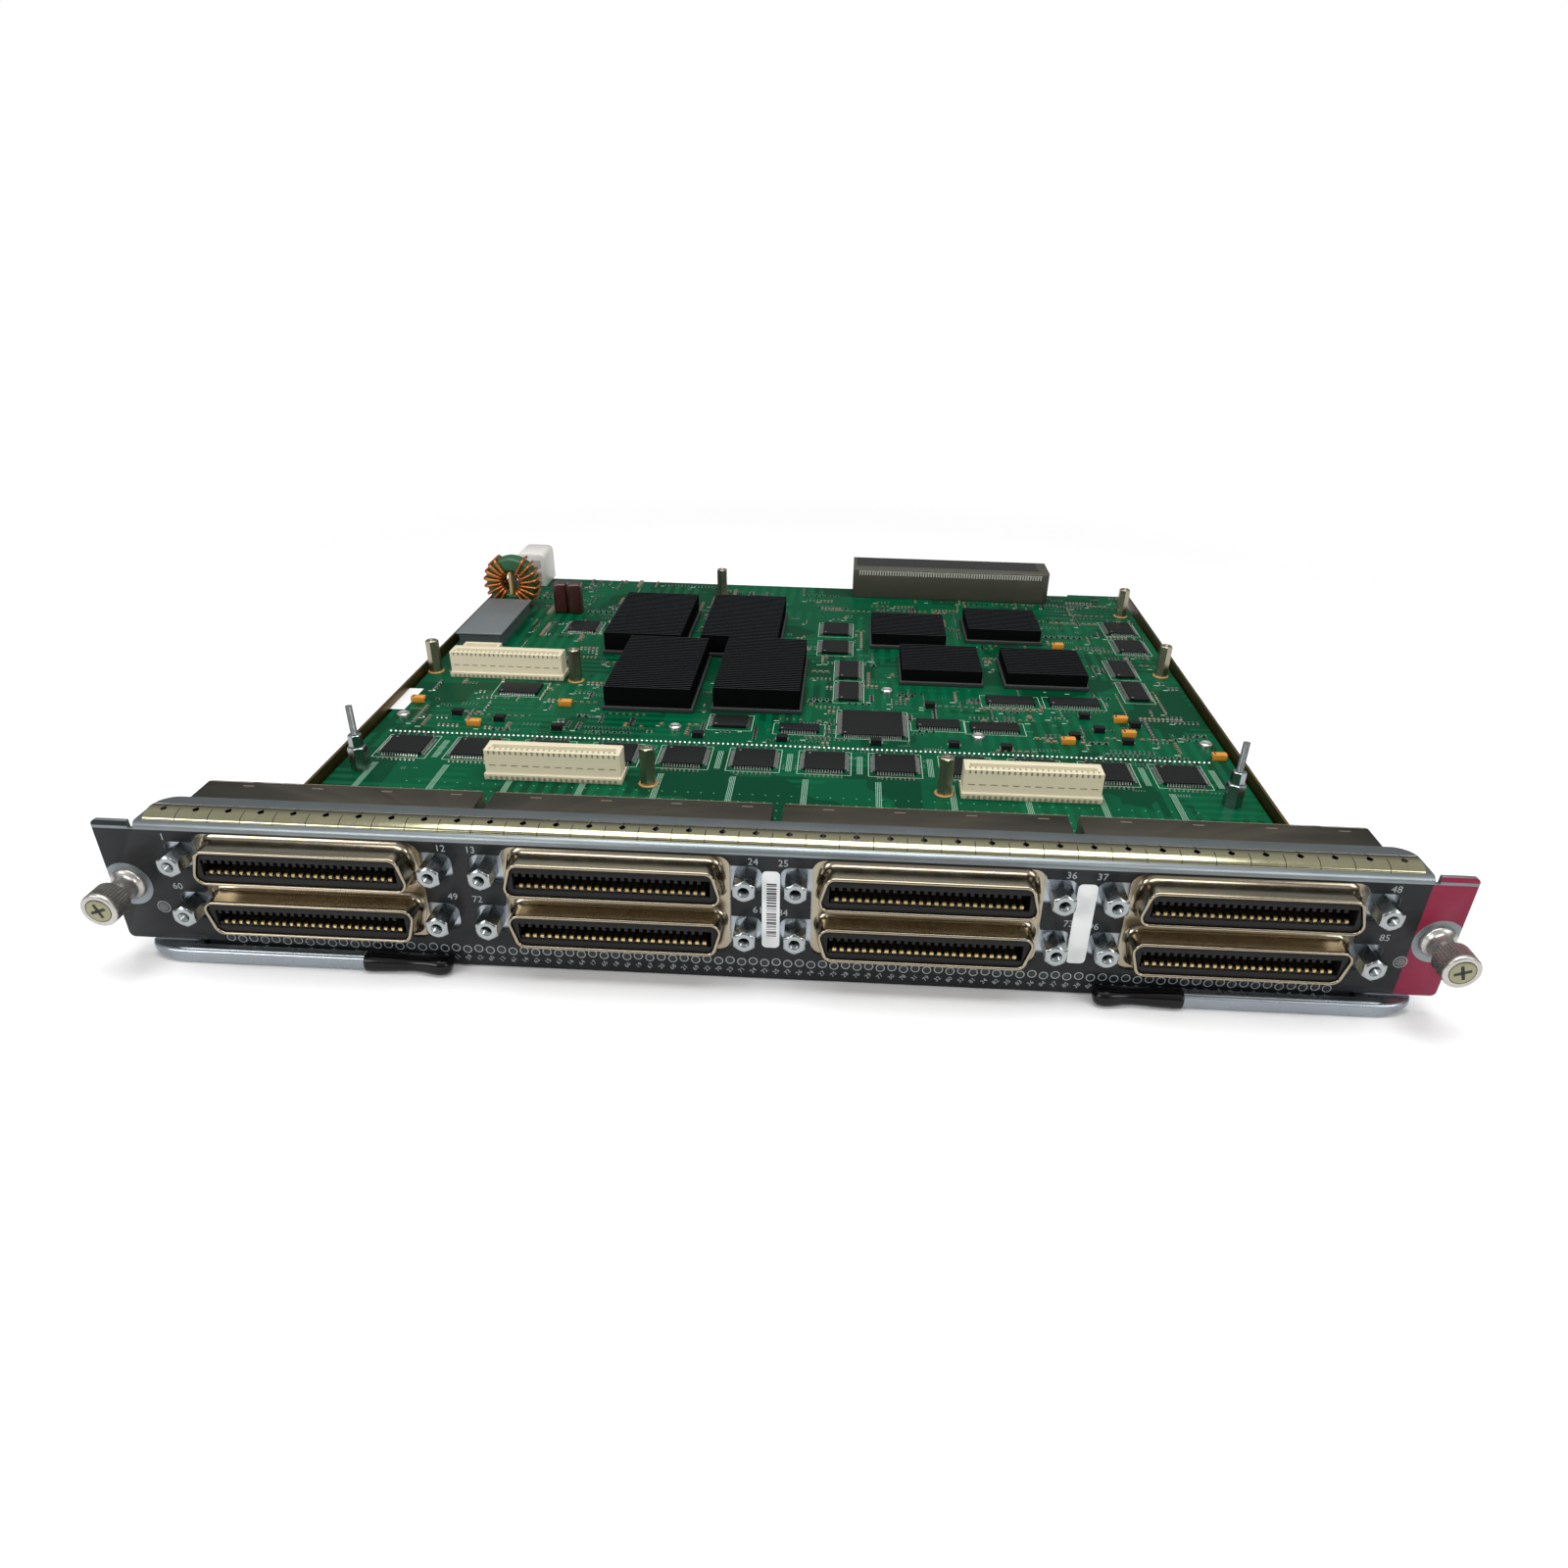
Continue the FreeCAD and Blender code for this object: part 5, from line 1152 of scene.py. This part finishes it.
def frame_marks(x0, x1, y0, y1, width=0.28):
    """The four printed sides of a part's outline."""
    return [((x0 + x1) / 2, y0, x1 - x0, width), ((x0 + x1) / 2, y1, x1 - x0, width),
            (x0, (y0 + y1) / 2, width, y1 - y0), (x1, (y0 + y1) / 2, width, y1 - y0)]


def free_spot(x, y, taken, margin=0.8):
    return all(x < a - margin or x > b + margin or y < c - margin or y > d + margin for a, b, c, d in taken)


def taken_places():
    """Footprints on the board that small parts keep clear of."""
    taken = []
    for node in ("port_chips", "logic_chips", "chip_packages", "board_screws", "standoff_posts", "stud_posts",
                 "tantalum_capacitors", "film_capacitors", "power_module", "power_connector",
                 "backplane_connector", "toroid_core", "daughter_connector_1", "daughter_connector_2",
                 "daughter_connector_3"):
        for low, high in solids_of(node):
            taken.append((low[0] - 1.5, high[0] + 1.5, low[1] - 1.5, high[1] + 1.5))
    return taken


CHOKES = ((-131, 171), (-104, 164), (-43, 162), (-7, 161.5), (33, 161.5), (66, 162), (88, 161), (119, 176),
          (131, 184), (141, 172), (127, 199), (148, 191), (-151, 176), (58, 205))


def small_parts():
    """Chip resistors and capacitors in short rows, each with two tinned ends and printed marks."""
    chance = random.Random(settings().seed)
    taken = taken_places()
    sizes = ((1.6, 0.85, 0.55), (1.25, 0.7, 0.5), (2.0, 1.25, 0.7))
    bodies = {"brown": [], "black": []}
    ends, prints, pads = [], [], []
    low, high = (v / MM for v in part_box("main_board"))

    def put(x, y, size, upright, kind):
        wide, deep, rise = size
        w, d = (deep, wide) if upright else (wide, deep)
        bodies[kind].append((x, y, BOARD_TOP + rise / 2, w * (1 if upright else 0.56), d * (0.56 if upright
                                                                                             else 1), rise))
        for s in (-1, 1):
            dx, dy = (0, s * wide * 0.39) if upright else (s * wide * 0.39, 0)
            ends.append((x + dx, y + dy, BOARD_TOP + rise / 2, w * (1 if upright else 0.24) + 0.02,
                         d * (0.24 if upright else 1) + 0.02, rise + 0.03))
            pads.append((x + dx * 1.35, y + dy * 1.35, w * (1.05 if upright else 0.4),
                         d * (0.4 if upright else 1.05)))

    for _ in range(560):
        x = chance.uniform(low.x + 4, high.x - 4)
        y = chance.uniform(158, high.y - 5)
        size = chance.choice(sizes)
        upright = chance.random() < 0.55
        kind = "brown" if chance.random() < 0.5 else "black"
        count = chance.choice((2, 3, 4, 4, 6, 8, 10))
        along_x = chance.random() < 0.6
        step = 2.0 if (along_x == upright) else 3.0
        for k in range(count):
            px = x + (k * step if along_x else 0)
            py = y + (0 if along_x else k * step)
            if px < high.x - 3 and py < high.y - 3 and free_spot(px, py, taken):
                put(px, py, size, upright, kind)
                taken.append((px - 0.9, px + 0.9, py - 0.9, py + 0.9))
        if chance.random() < 0.6 and free_spot(x - 2, y - 2, taken):
            prints.append((x - 1.6, y - 1.8, chance.uniform(1.2, 2.6), 0.7))
    # rows before and behind each port chip
    for cx0, cx1, cy0, cy1 in chip_boxes("port_chips"):
        for k in range(9):
            x = cx0 + 1 + (cx1 - cx0 - 2) * k / 8
            put(x, cy0 - 4.2, sizes[1], True, "brown")
            if k % 2 == 0:
                put(x, cy1 + 3.4, sizes[0], True, "black")
    dots = []
    for _ in range(260):
        x, y = chance.uniform(low.x + 6, high.x - 14), chance.uniform(120, high.y - 8)
        across, along = chance.choice((1, 2, 5, 8)), chance.choice((1, 2, 2, 3))
        step = chance.choice((1.1, 1.6))
        for k in range(across * along):
            px, py = x + step * (k % across), y + step * (k // across)
            if free_spot(px, py, taken, 0.0):
                dots.append((px, py, 0.55, 0.55, 0.785))
    on_board("via_dots", dots, tin(), 0.03)
    chokes = []
    for x, y in CHOKES:
        chokes.append((x, y, BOARD_TOP + 1.2, 4.6, 3.4, 2.4))
        for s in (-1, 1):
            ends.append((x + s * 2.5, y, BOARD_TOP + 0.5, 0.8, 2.6, 1.0))
    for k in range(8):
        x, y = -114 + 8.6 * k, high.y - 8
        if free_spot(x, y, taken, 1.5):
            prints += frame_marks(x - 3.6, x + 3.6, y - 3.4, y + 3.4, 0.4)
            chokes.append((x, y, BOARD_TOP + 1.2, 4.2, 3.6, 2.4))
    blocks("moulded_chokes", chokes, epoxy_black(), slot="chip_moulding")
    blocks("chip_capacitors", bodies["brown"], finish("ceramic_brown", "8a6d4c", 0.45, 0.0, 0.5, 0.15),
           slot="board_mask")
    blocks("chip_resistors", bodies["black"], finish("resistor_black", "141416", 0.4, 0.0, 0.5, 0.15),
           slot="board_mask")
    blocks("tinned_ends", ends, tin(), slot="board_mask")
    on_board("solder_pads", pads, tin(), 0.04)
    on_board("reference_print", prints, print_white(), 0.02)


def chip_boxes(node):
    return [(low[0], high[0], low[1], high[1]) for low, high in solids_of(node)]


def leads_for(x0, x1, y0, y1, sides, pitch=0.8, reach=1.1):
    """Gull-wing leads round a chip: outer foot and inner shoulder of each."""
    made = []
    if "x" in sides:
        count = int((y1 - y0 - 1.0) / pitch)
        for k in range(count):
            y = (y0 + y1) / 2 + (k - (count - 1) / 2) * pitch
            for s, x in ((-1, x0), (1, x1)):
                made.append((x + s * reach * 0.78, y, BOARD_TOP + 0.14, reach * 0.6, pitch * 0.55, 0.24))
                made.append((x + s * reach * 0.3, y, BOARD_TOP + 0.5, reach * 0.56, pitch * 0.5, 0.95))
    if "y" in sides:
        count = int((x1 - x0 - 1.0) / pitch)
        for k in range(count):
            x = (x0 + x1) / 2 + (k - (count - 1) / 2) * pitch
            for s, y in ((-1, y0), (1, y1)):
                made.append((x, y + s * reach * 0.78, BOARD_TOP + 0.14, pitch * 0.55, reach * 0.6, 0.24))
                made.append((x, y + s * reach * 0.3, BOARD_TOP + 0.5, pitch * 0.5, reach * 0.56, 0.95))
    return made


def chips():
    """Moulded packages with broken edges, tinned leads, a pin-one dimple and a printed frame."""
    softened("port_chips", epoxy_black(), 0.0003)
    softened("logic_chips", epoxy_black(), 0.0003)
    leads, marks, dimples = [], [], []
    for x0, x1, y0, y1 in chip_boxes("port_chips"):
        leads += leads_for(x0, x1, y0, y1, "xy", 1.1, 1.7)
        marks += frame_marks(x0 - 2.6, x1 + 2.6, y0 - 2.8, y1 + 2.8)
        dimples.append((x0 + 2, y1 - 2))
    for x0, x1, y0, y1 in chip_boxes("logic_chips"):
        wide, deep = x1 - x0, y1 - y0
        if min(wide, deep) > 12 and abs(wide - deep) < 4:
            leads += leads_for(x0, x1, y0, y1, "xy", 0.9, 1.9)
        elif deep > wide or 12 < wide < 15:
            leads += leads_for(x0, x1, y0, y1, "x", 1.1, 1.9)
        else:
            leads += leads_for(x0, x1, y0, y1, "y", 1.1, 1.7)
        marks += frame_marks(x0 - 2.5, x1 + 2.5, y0 - 2.5, y1 + 2.5)
        dimples.append((x0 + 1.4, y0 + 1.4))
    blocks("chip_leads", leads, tin(), slot="chip_moulding")
    on_board("chip_outlines", marks, print_white(), 0.02)
    spots = [(x, y, BOARD_TOP + 1.5, 0.9, 0.9, 0.03, 0.785) for x, y in dimples]
    blocks("pin_one_marks", spots, finish("laser_mark", "6d6f70", 0.6), slot="chip_moulding")


def solder_rows():
    """Bright through-hole joints in a long row behind the port chips, and via rows in front."""
    bump = spun([(0, 0.42), (0.32, 0.36), (0.55, 0.2), (0.72, 0.0)], (-173.6, 156.0, BOARD_TOP), 10, "Z")
    rows("solder_joints", bump, tin(), (171, (2.03, 0, 0)), slot="board_mask", sharp=60)
    bands = []
    for k in range(12):
        x = (k - 5.5) * 28.8 - 2.6
        for j in range(4):
            bands.append((x - 8 + j * 0.65, 112.0, 0.28, 26.0))
        for j in range(4):
            bands.append((x + 13.4 + j * 0.65, 140.0, 0.28, 17.0))
    on_board("pale_traces", bands, finish("tinned_trace", "7fa48e", 0.4, 0.0, 0.8, 0.1), 0.015)
    vias = spun([(0.0, 0.05), (0.34, 0.05), (0.36, 0.0)], (-150.0, 60.0, BOARD_TOP), 8, "Z")
    rows("via_field", vias, finish("via_ring", "4d8f6a", 0.35, 0.0, 0.5, 0.1), (62, (5.0, 0, 0)),
         (9, (0, 6.2, 0)), slot="board_mask")


def board():
    dress("main_board", board_finish())
    chips()
    small_parts()
    solder_rows()
    for x0, x1, y0, y1 in chip_boxes("board_screws"):
        centre = ((x0 + x1) / 2, (y0 + y1) / 2, BOARD_TOP)
        head = spun([(0, 1.5), (0.9, 1.5), (2.2, 1.95), (2.8, 1.6), (3.0, 0.9), (3.0, 0.0)], centre, 28, "Z")
        piece("board_screw_head", outward(mesh_of("screw", *head)), tin(), CARD,
              ["board_screws"], sharp=40)
    on_board("bar_slip", [(-180.2, 191.5, 8.0, 25.0)], finish("label_paper", "e4e6e6", 0.5, 0.0, 1.0, 0.03),
             0.08)
    dress("board_standoffs", tin())
    # brown tray metal: the brown paints the dark reflection seen on the tray's walls
    tray = finish("brown_tray_painted_reflection", "6d5c3a", 0.38, 1.0, 4.0, 0.2, 0.01)
    softened("carrier_tray", tray, 0.0002)
    softened("backing_plate", zinc(), 0.00015)


# ---- heat sinks and their packages -----------------------------------------------------------------
def heat_sinks():
    """Thin close fins across a plate, each sink in its own place; the fins' tops are a little paler, as a
    painted highlight.
    """
    package = finish("package_grey", "2c302f", 0.5, 0.0, 0.5, 0.15, shine=0.3)
    softened("chip_packages", package, 0.0003)
    # paler colour on the fin tops: painted highlight
    fin_top_highlight = finish("fin_top_painted_highlight", "25272a", 0.5, 0.0, 0.5, 0.2, 0.01, shine=0.3)
    for kind in ("large", "small"):
        for n in range(1, 5):
            node = "heat_sink_%s_%d" % (kind, n)
            low, high = (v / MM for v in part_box(node))
            pitch = settings().fin_pitch / MM
            count = int((high.y - low.y) / pitch)
            thick = 0.5
            pitch = (high.y - low.y - thick) / (count - 1)
            base = block(low.x + 0.1, high.x - 0.1, low.y + 0.1, high.y - 0.1, low.z, low.z + 2.4)
            piece(node + "_plate", outward(mesh_of(node, *base)), anodised(), CARD, [node])
            taper = 0.08
            loops = []
            for inset, draw, z in ((0.0, 0.0, low.z + 2.3), (0.08, taper, high.z - 0.2)):
                x0, x1, y0, y1 = low.x + inset, high.x - inset, low.y + draw, low.y + thick - draw
                loops.append([(x0, y0, z), (x1, y0, z), (x1, y1, z), (x0, y1, z)])
            rows(node + "_fins", loft(loops, True, True), anodised(), (count, (0, pitch, 0)), slot="sink_black")
            tip = block(low.x + 0.1, high.x - 0.1, low.y + taper, low.y + thick - taper, high.z - 0.2,
                        high.z - 0.02)
            rows(node + "_tops", tip, fin_top_highlight, (count, (0, pitch, 0)), slot="sink_black")


# ---- connectors ------------------------------------------------------------------------------------
def daughter_connectors():
    """Cream two-row sockets: notched top edge, a dashed seam and teeth along the foot."""
    shade = finish("moulding_shade", "8d8770", 0.6, 0.0, 1.0, 0.1)
    notches, teeth = [], []
    for n in range(1, 4):
        node = "daughter_connector_%d" % n
        softened(node, cream(), 0.0003)
        box = max(solids_of(node), key=lambda b: b[1][0] - b[0][0])
        low, high = box
        x0, x1, front = low[0] + 1.6, high[0] - 1.6, low[1] + 1.0
        count = 24
        for k in range(count):
            x = x0 + 1 + (x1 - x0 - 2) * k / (count - 1)
            notches.append((x, front - 0.01, high[2] - 0.9, 0.75, 0.1, 1.3))
            notches.append((x, front + 1.9, high[2] + 0.0, 0.8, 1.5, 0.06))
            teeth.append((x, low[1] - 0.02, BOARD_TOP + 1.0, 1.0, 0.12, 1.5))
        for k in range(12):
            x = x0 + 2 + (x1 - x0 - 4) * k / 11
            teeth.append((x, front - 0.02, BOARD_TOP + 6.0, 2.6, 0.08, 0.35))
    blocks("socket_notches", notches, shade, slot="cream_moulding")
    blocks("socket_teeth", teeth, shade, slot="cream_moulding")


def backplane_connector():
    """Dark moulding with a pale comb of contacts along its front edge."""
    softened("backplane_connector", finish("grey_moulding", "3d3c32", 0.42, 0.0, 1.2, 0.12), 0.0004)
    low, high = (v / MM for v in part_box("backplane_connector"))
    count = 72
    step = (high.x - low.x - 8) / count
    strip = [(low.x + 4 + step * k, low.y - 0.03, high.z - 2.3, step * 0.5, 0.16, 2.2) for k in range(count)]
    strip += [(low.x + 4 + step * k, low.y - 0.03, high.z - 1.0, step * 1.05, 0.14, 0.35) for k in range(count)]
    blocks("backplane_comb", strip, finish("comb_pale", "bfc0b4", 0.4, 0.2, 0.8, 0.1), slot="grey_moulding")
    top = [((low.x + high.x) / 2 - 2, (low.y + high.y) / 2 + 3, high.z + 0.02, high.x - low.x - 8,
            high.y - low.y - 8, 0.05)]
    blocks("backplane_top", top, finish("backplane_black", "10100f", 0.45), slot="grey_moulding")


def posts():
    """Hexagonal posts with coned ends on tan feet; the front two carry a nut and a thin stud."""
    nickel = finish("post_nickel", "9a9683", 0.34, 1.0, 3.0, 0.06, 0.0)
    tan = finish("foot_tan", "a9824a", 0.45, 0.3, 0.8, 0.12)
    for n, (x0, x1, y0, y1) in enumerate(chip_boxes("standoff_posts"), 1):
        x, y = (x0 + x1) / 2, (y0 + y1) / 2
        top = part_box("standoff_posts")[1].z / MM
        points, faces = hex_bar(5.4, 0.0, top - BOARD_TOP, 0.35, 36, 1.35, 0.2, 5.0)
        upright = [(x + px, y + pz, top - py) for px, py, pz in points]
        piece("post_%d" % n, outward(mesh_of("post", upright, faces)), nickel, CARD,
              ["standoff_posts"], sharp=22)
        foot = spun([(2.6, 0.5), (3.6, 0.5), (3.9, 0.3), (3.9, 0.0)], (x, y, BOARD_TOP), 28, "Z")
        piece("post_foot_%d" % n, outward(mesh_of("foot", *foot)), tan, CARD, sharp=40)
    for n, (x0, x1, y0, y1) in enumerate(chip_boxes("stud_posts"), 1):
        x, y = (x0 + x1) / 2, (y0 + y1) / 2
        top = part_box("stud_posts")[1].z / MM
        parts = []
        for flats, start, end in ((6.4, BOARD_TOP, BOARD_TOP + 9.6), (4.8, BOARD_TOP + 9.6, BOARD_TOP + 14.6)):
            points, faces = hex_bar(flats, 0.0, end - start, 0.3, 36)
            parts.append(([(x + px, y + pz, end - py) for px, py, pz in points], faces))
        thread = [(0, top - BOARD_TOP)]
        z = top - BOARD_TOP - 0.2
        thread.append((1.0, z + 0.1))
        while z > 14.5:
            thread += [(1.38, z), (1.18, z - 0.25)]
            z -= 0.5
        thread.append((1.2, 14.0))
        parts.append(spun(thread, (x, y, BOARD_TOP), 18, "Z"))
        piece("stud_post_%d" % n, outward(mesh_of("stud", *join(parts))), jack_steel(), CARD,
              ["stud_posts"], sharp=30)


# ---- power parts and capacitors --------------------------------------------------------------------
def toroid():
    """Coated core with two banks of thick enamelled turns and a fibre divider."""
    low, high = (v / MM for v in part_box("toroid_core"))
    centre = (low + high) / 2
    outer, width = (high.x - low.x) / 2, high.y - low.y
    inner = outer * 6.3 / 13.6
    profile = []
    for x, y in rounded([(inner, -width / 2), (outer, -width / 2), (outer, width / 2), (inner, width / 2)],
                        1.4, 5):
        profile.append((x, y))
    shape = loft_closed(spun(profile, centre, 56), 56)
    piece("toroid_ring", outward(mesh_of("core", *shape)), finish("core_green", "10502a", 0.35, 0.0, 2, 0.1),
          CARD, ["toroid_core"], sharp=60)
    wire = settings().winding / MM / 2
    gap = wire + 0.08
    path = oblong(inner - gap, outer + gap, -width / 2 - gap, width / 2 + gap, 1.9, 5)
    loops = []
    for k, (x, y) in enumerate(path):
        a, b = path[k - 1], path[(k + 1) % len(path)]
        ahead = Vector((b[0] - a[0], b[1] - a[1])).normalized()
        side = Vector((ahead.y, -ahead.x))
        lean = 1.1 * (k / len(path) - 0.5)
        loops.append([(x + side.x * wire * math.cos(t), y + side.y * wire * math.cos(t),
                       wire * math.sin(t) + lean) for t in [2 * math.pi * j / 10 for j in range(10)]])
    points, faces = loft(loops, True, True)
    mesh = outward(mesh_of("turn", points, faces))
    copper = finish("enamelled_copper", "a9602a", 0.28, 0.7, 1.5, 0.16)
    count, turn = 8, math.radians(16.5)
    for name, begin in (("winding_left", math.pi), ("winding_right", 0.0)):
        bank = mesh.copy()
        bank.transform(Matrix.Rotation(begin - turn * (count - 1) / 2, 4, "Y"))
        grown(name, "ring", bank, copper, {"Count": count, "Turn": turn, "Centre": centre * MM},
              slot="winding_copper", replaces=["toroid_winding"], sharp=60)
    blocks("toroid_divider", [(centre.x, centre.y, centre.z, 1.2, width + 1.6, 2 * inner - 0.6)],
           finish("fibre_tan", "b79a63", 0.6), slot="core_green")


def power_parts():
    dress("power_module", finish("module_grey", "666c6e", 0.5, 0.35, 4.0, 0.08))
    softened("power_module", finish("module_grey", "666c6e", 0.5, 0.35, 4.0, 0.08), 0.0004)
    white = finish("white_moulding", "cfcdc6", 0.36, 0.0, 2.0, 0.04)
    softened("power_connector", white, 0.0005)
    low, high = (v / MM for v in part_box("power_connector"))
    ways = [((low.x + high.x) / 2 + s * 3.6, low.y - 0.02, high.z - 6.2 - 6.5 * r, 4.6, 0.12, 4.6)
            for s in (-1, 1) for r in (0, 1)]
    blocks("power_ways", ways, finish("way_shade", "9c9c94", 0.6), slot="white_moulding")
    orange = finish("tantalum_orange", "c8862a", 0.42, 0.0, 0.8, 0.1)
    softened("tantalum_capacitors", orange, 0.00025)
    bars, ends = [], []
    for x0, x1, y0, y1 in chip_boxes("tantalum_capacitors"):
        bars.append((x0 + 1.0, (y0 + y1) / 2, BOARD_TOP + 2.81, 0.8, y1 - y0 - 0.5, 0.03))
        for x in (x0 - 0.05, x1 + 0.05):
            ends.append((x, (y0 + y1) / 2, BOARD_TOP + 0.9, 0.25, 2.2, 1.7))
    blocks("tantalum_bars", bars, finish("band_brown", "5a2f10", 0.5), slot="tantalum_orange")
    blocks("tantalum_ends", ends, tin(), slot="tantalum_orange")
    softened("film_capacitors", finish("film_maroon", "351010", 0.32, 0.0, 1.5, 0.15, coat=0.3), 0.001, 4)


# ---- operators, panel and start --------------------------------------------------------------------
class CARD_OT_stage(bpy.types.Operator):
    """Set up the floor, lights, camera and background"""
    bl_idname = "line_card.stage"
    bl_label = "Stage"

    def execute(self, context):
        make_floor()
        backdrop()
        camera()
        softbox("overhead", (0.0, 0.10, 0.95), (0, 0.12, 0), 0.9, 0.7, 11)
        softbox("front_left", (-0.75, -0.75, 0.55), (0, 0.05, 0.02), 0.6, 0.4, 5)
        softbox("front_right", (0.8, -0.6, 0.5), (0, 0.05, 0.02), 0.5, 0.4, 3.2)
        return {"FINISHED"}


class CARD_OT_faceplate(bpy.types.Operator):
    """Paint and print the faceplate and stick on its labels"""
    bl_idname = "line_card.faceplate"
    bl_label = "Faceplate"

    def execute(self, context):
        faceplate()
        return {"FINISHED"}


class CARD_OT_fingers(bpy.types.Operator):
    """Make the spring finger strip"""
    bl_idname = "line_card.fingers"
    bl_label = "Spring fingers"

    def execute(self, context):
        finger_strip()
        return {"FINISHED"}


class CARD_OT_sockets(bpy.types.Operator):
    """Make the socket shells, mouldings, contacts, jackscrews and cans"""
    bl_idname = "line_card.sockets"
    bl_label = "Sockets"

    def execute(self, context):
        shells()
        housings()
        contacts()
        jackscrews()
        shield_cans()
        return {"FINISHED"}


class CARD_OT_levers(bpy.types.Operator):
    """Make the ejector levers, grips and pivots"""
    bl_idname = "line_card.levers"
    bl_label = "Levers"

    def execute(self, context):
        levers()
        return {"FINISHED"}


class CARD_OT_captives(bpy.types.Operator):
    """Make the captive screws, knobs and ferrules"""
    bl_idname = "line_card.captives"
    bl_label = "Captive screws"

    def execute(self, context):
        captive_screws()
        return {"FINISHED"}


class CARD_OT_board(bpy.types.Operator):
    """Finish the board and tray and set the small parts on the board"""
    bl_idname = "line_card.board"
    bl_label = "Board"

    def execute(self, context):
        board()
        return {"FINISHED"}


class CARD_OT_sinks(bpy.types.Operator):
    """Make the heat sinks"""
    bl_idname = "line_card.sinks"
    bl_label = "Heat sinks"

    def execute(self, context):
        heat_sinks()
        return {"FINISHED"}


class CARD_OT_connectors(bpy.types.Operator):
    """Finish the connectors and posts"""
    bl_idname = "line_card.connectors"
    bl_label = "Connectors and posts"

    def execute(self, context):
        daughter_connectors()
        backplane_connector()
        posts()
        return {"FINISHED"}


class CARD_OT_power(bpy.types.Operator):
    """Make the toroid and finish the power parts and capacitors"""
    bl_idname = "line_card.power"
    bl_label = "Power parts"

    def execute(self, context):
        toroid()
        power_parts()
        return {"FINISHED"}


STEPS = [CARD_OT_stage, CARD_OT_faceplate, CARD_OT_fingers, CARD_OT_sockets, CARD_OT_levers,
         CARD_OT_captives, CARD_OT_board, CARD_OT_sinks, CARD_OT_connectors, CARD_OT_power]


class CARD_PT_panel(bpy.types.Panel):
    """Sizes, colours and steps of the line card"""
    bl_idname = "CARD_PT_panel"
    bl_label = "Line card"
    bl_space_type = "VIEW_3D"
    bl_region_type = "UI"
    bl_category = "Line card"

    def draw(self, context):
        for name in CardSettings.__annotations__:
            self.layout.prop(settings(), name)
        for step in STEPS:
            self.layout.operator(step.bl_idname)


def register():
    for cls in [CardSettings] + STEPS + [CARD_PT_panel]:
        bpy.utils.register_class(cls)
    bpy.types.Scene.line_card = PointerProperty(type=CardSettings)


def unregister():
    del bpy.types.Scene.line_card
    for cls in reversed([CardSettings] + STEPS + [CARD_PT_panel]):
        bpy.utils.unregister_class(cls)


def main():
    register()
    bpy.context.scene.view_settings.view_transform = "Standard"
    for step in STEPS:
        family, name = step.bl_idname.split(".")
        getattr(getattr(bpy.ops, family), name)()


if __name__ == "__main__":
    main()
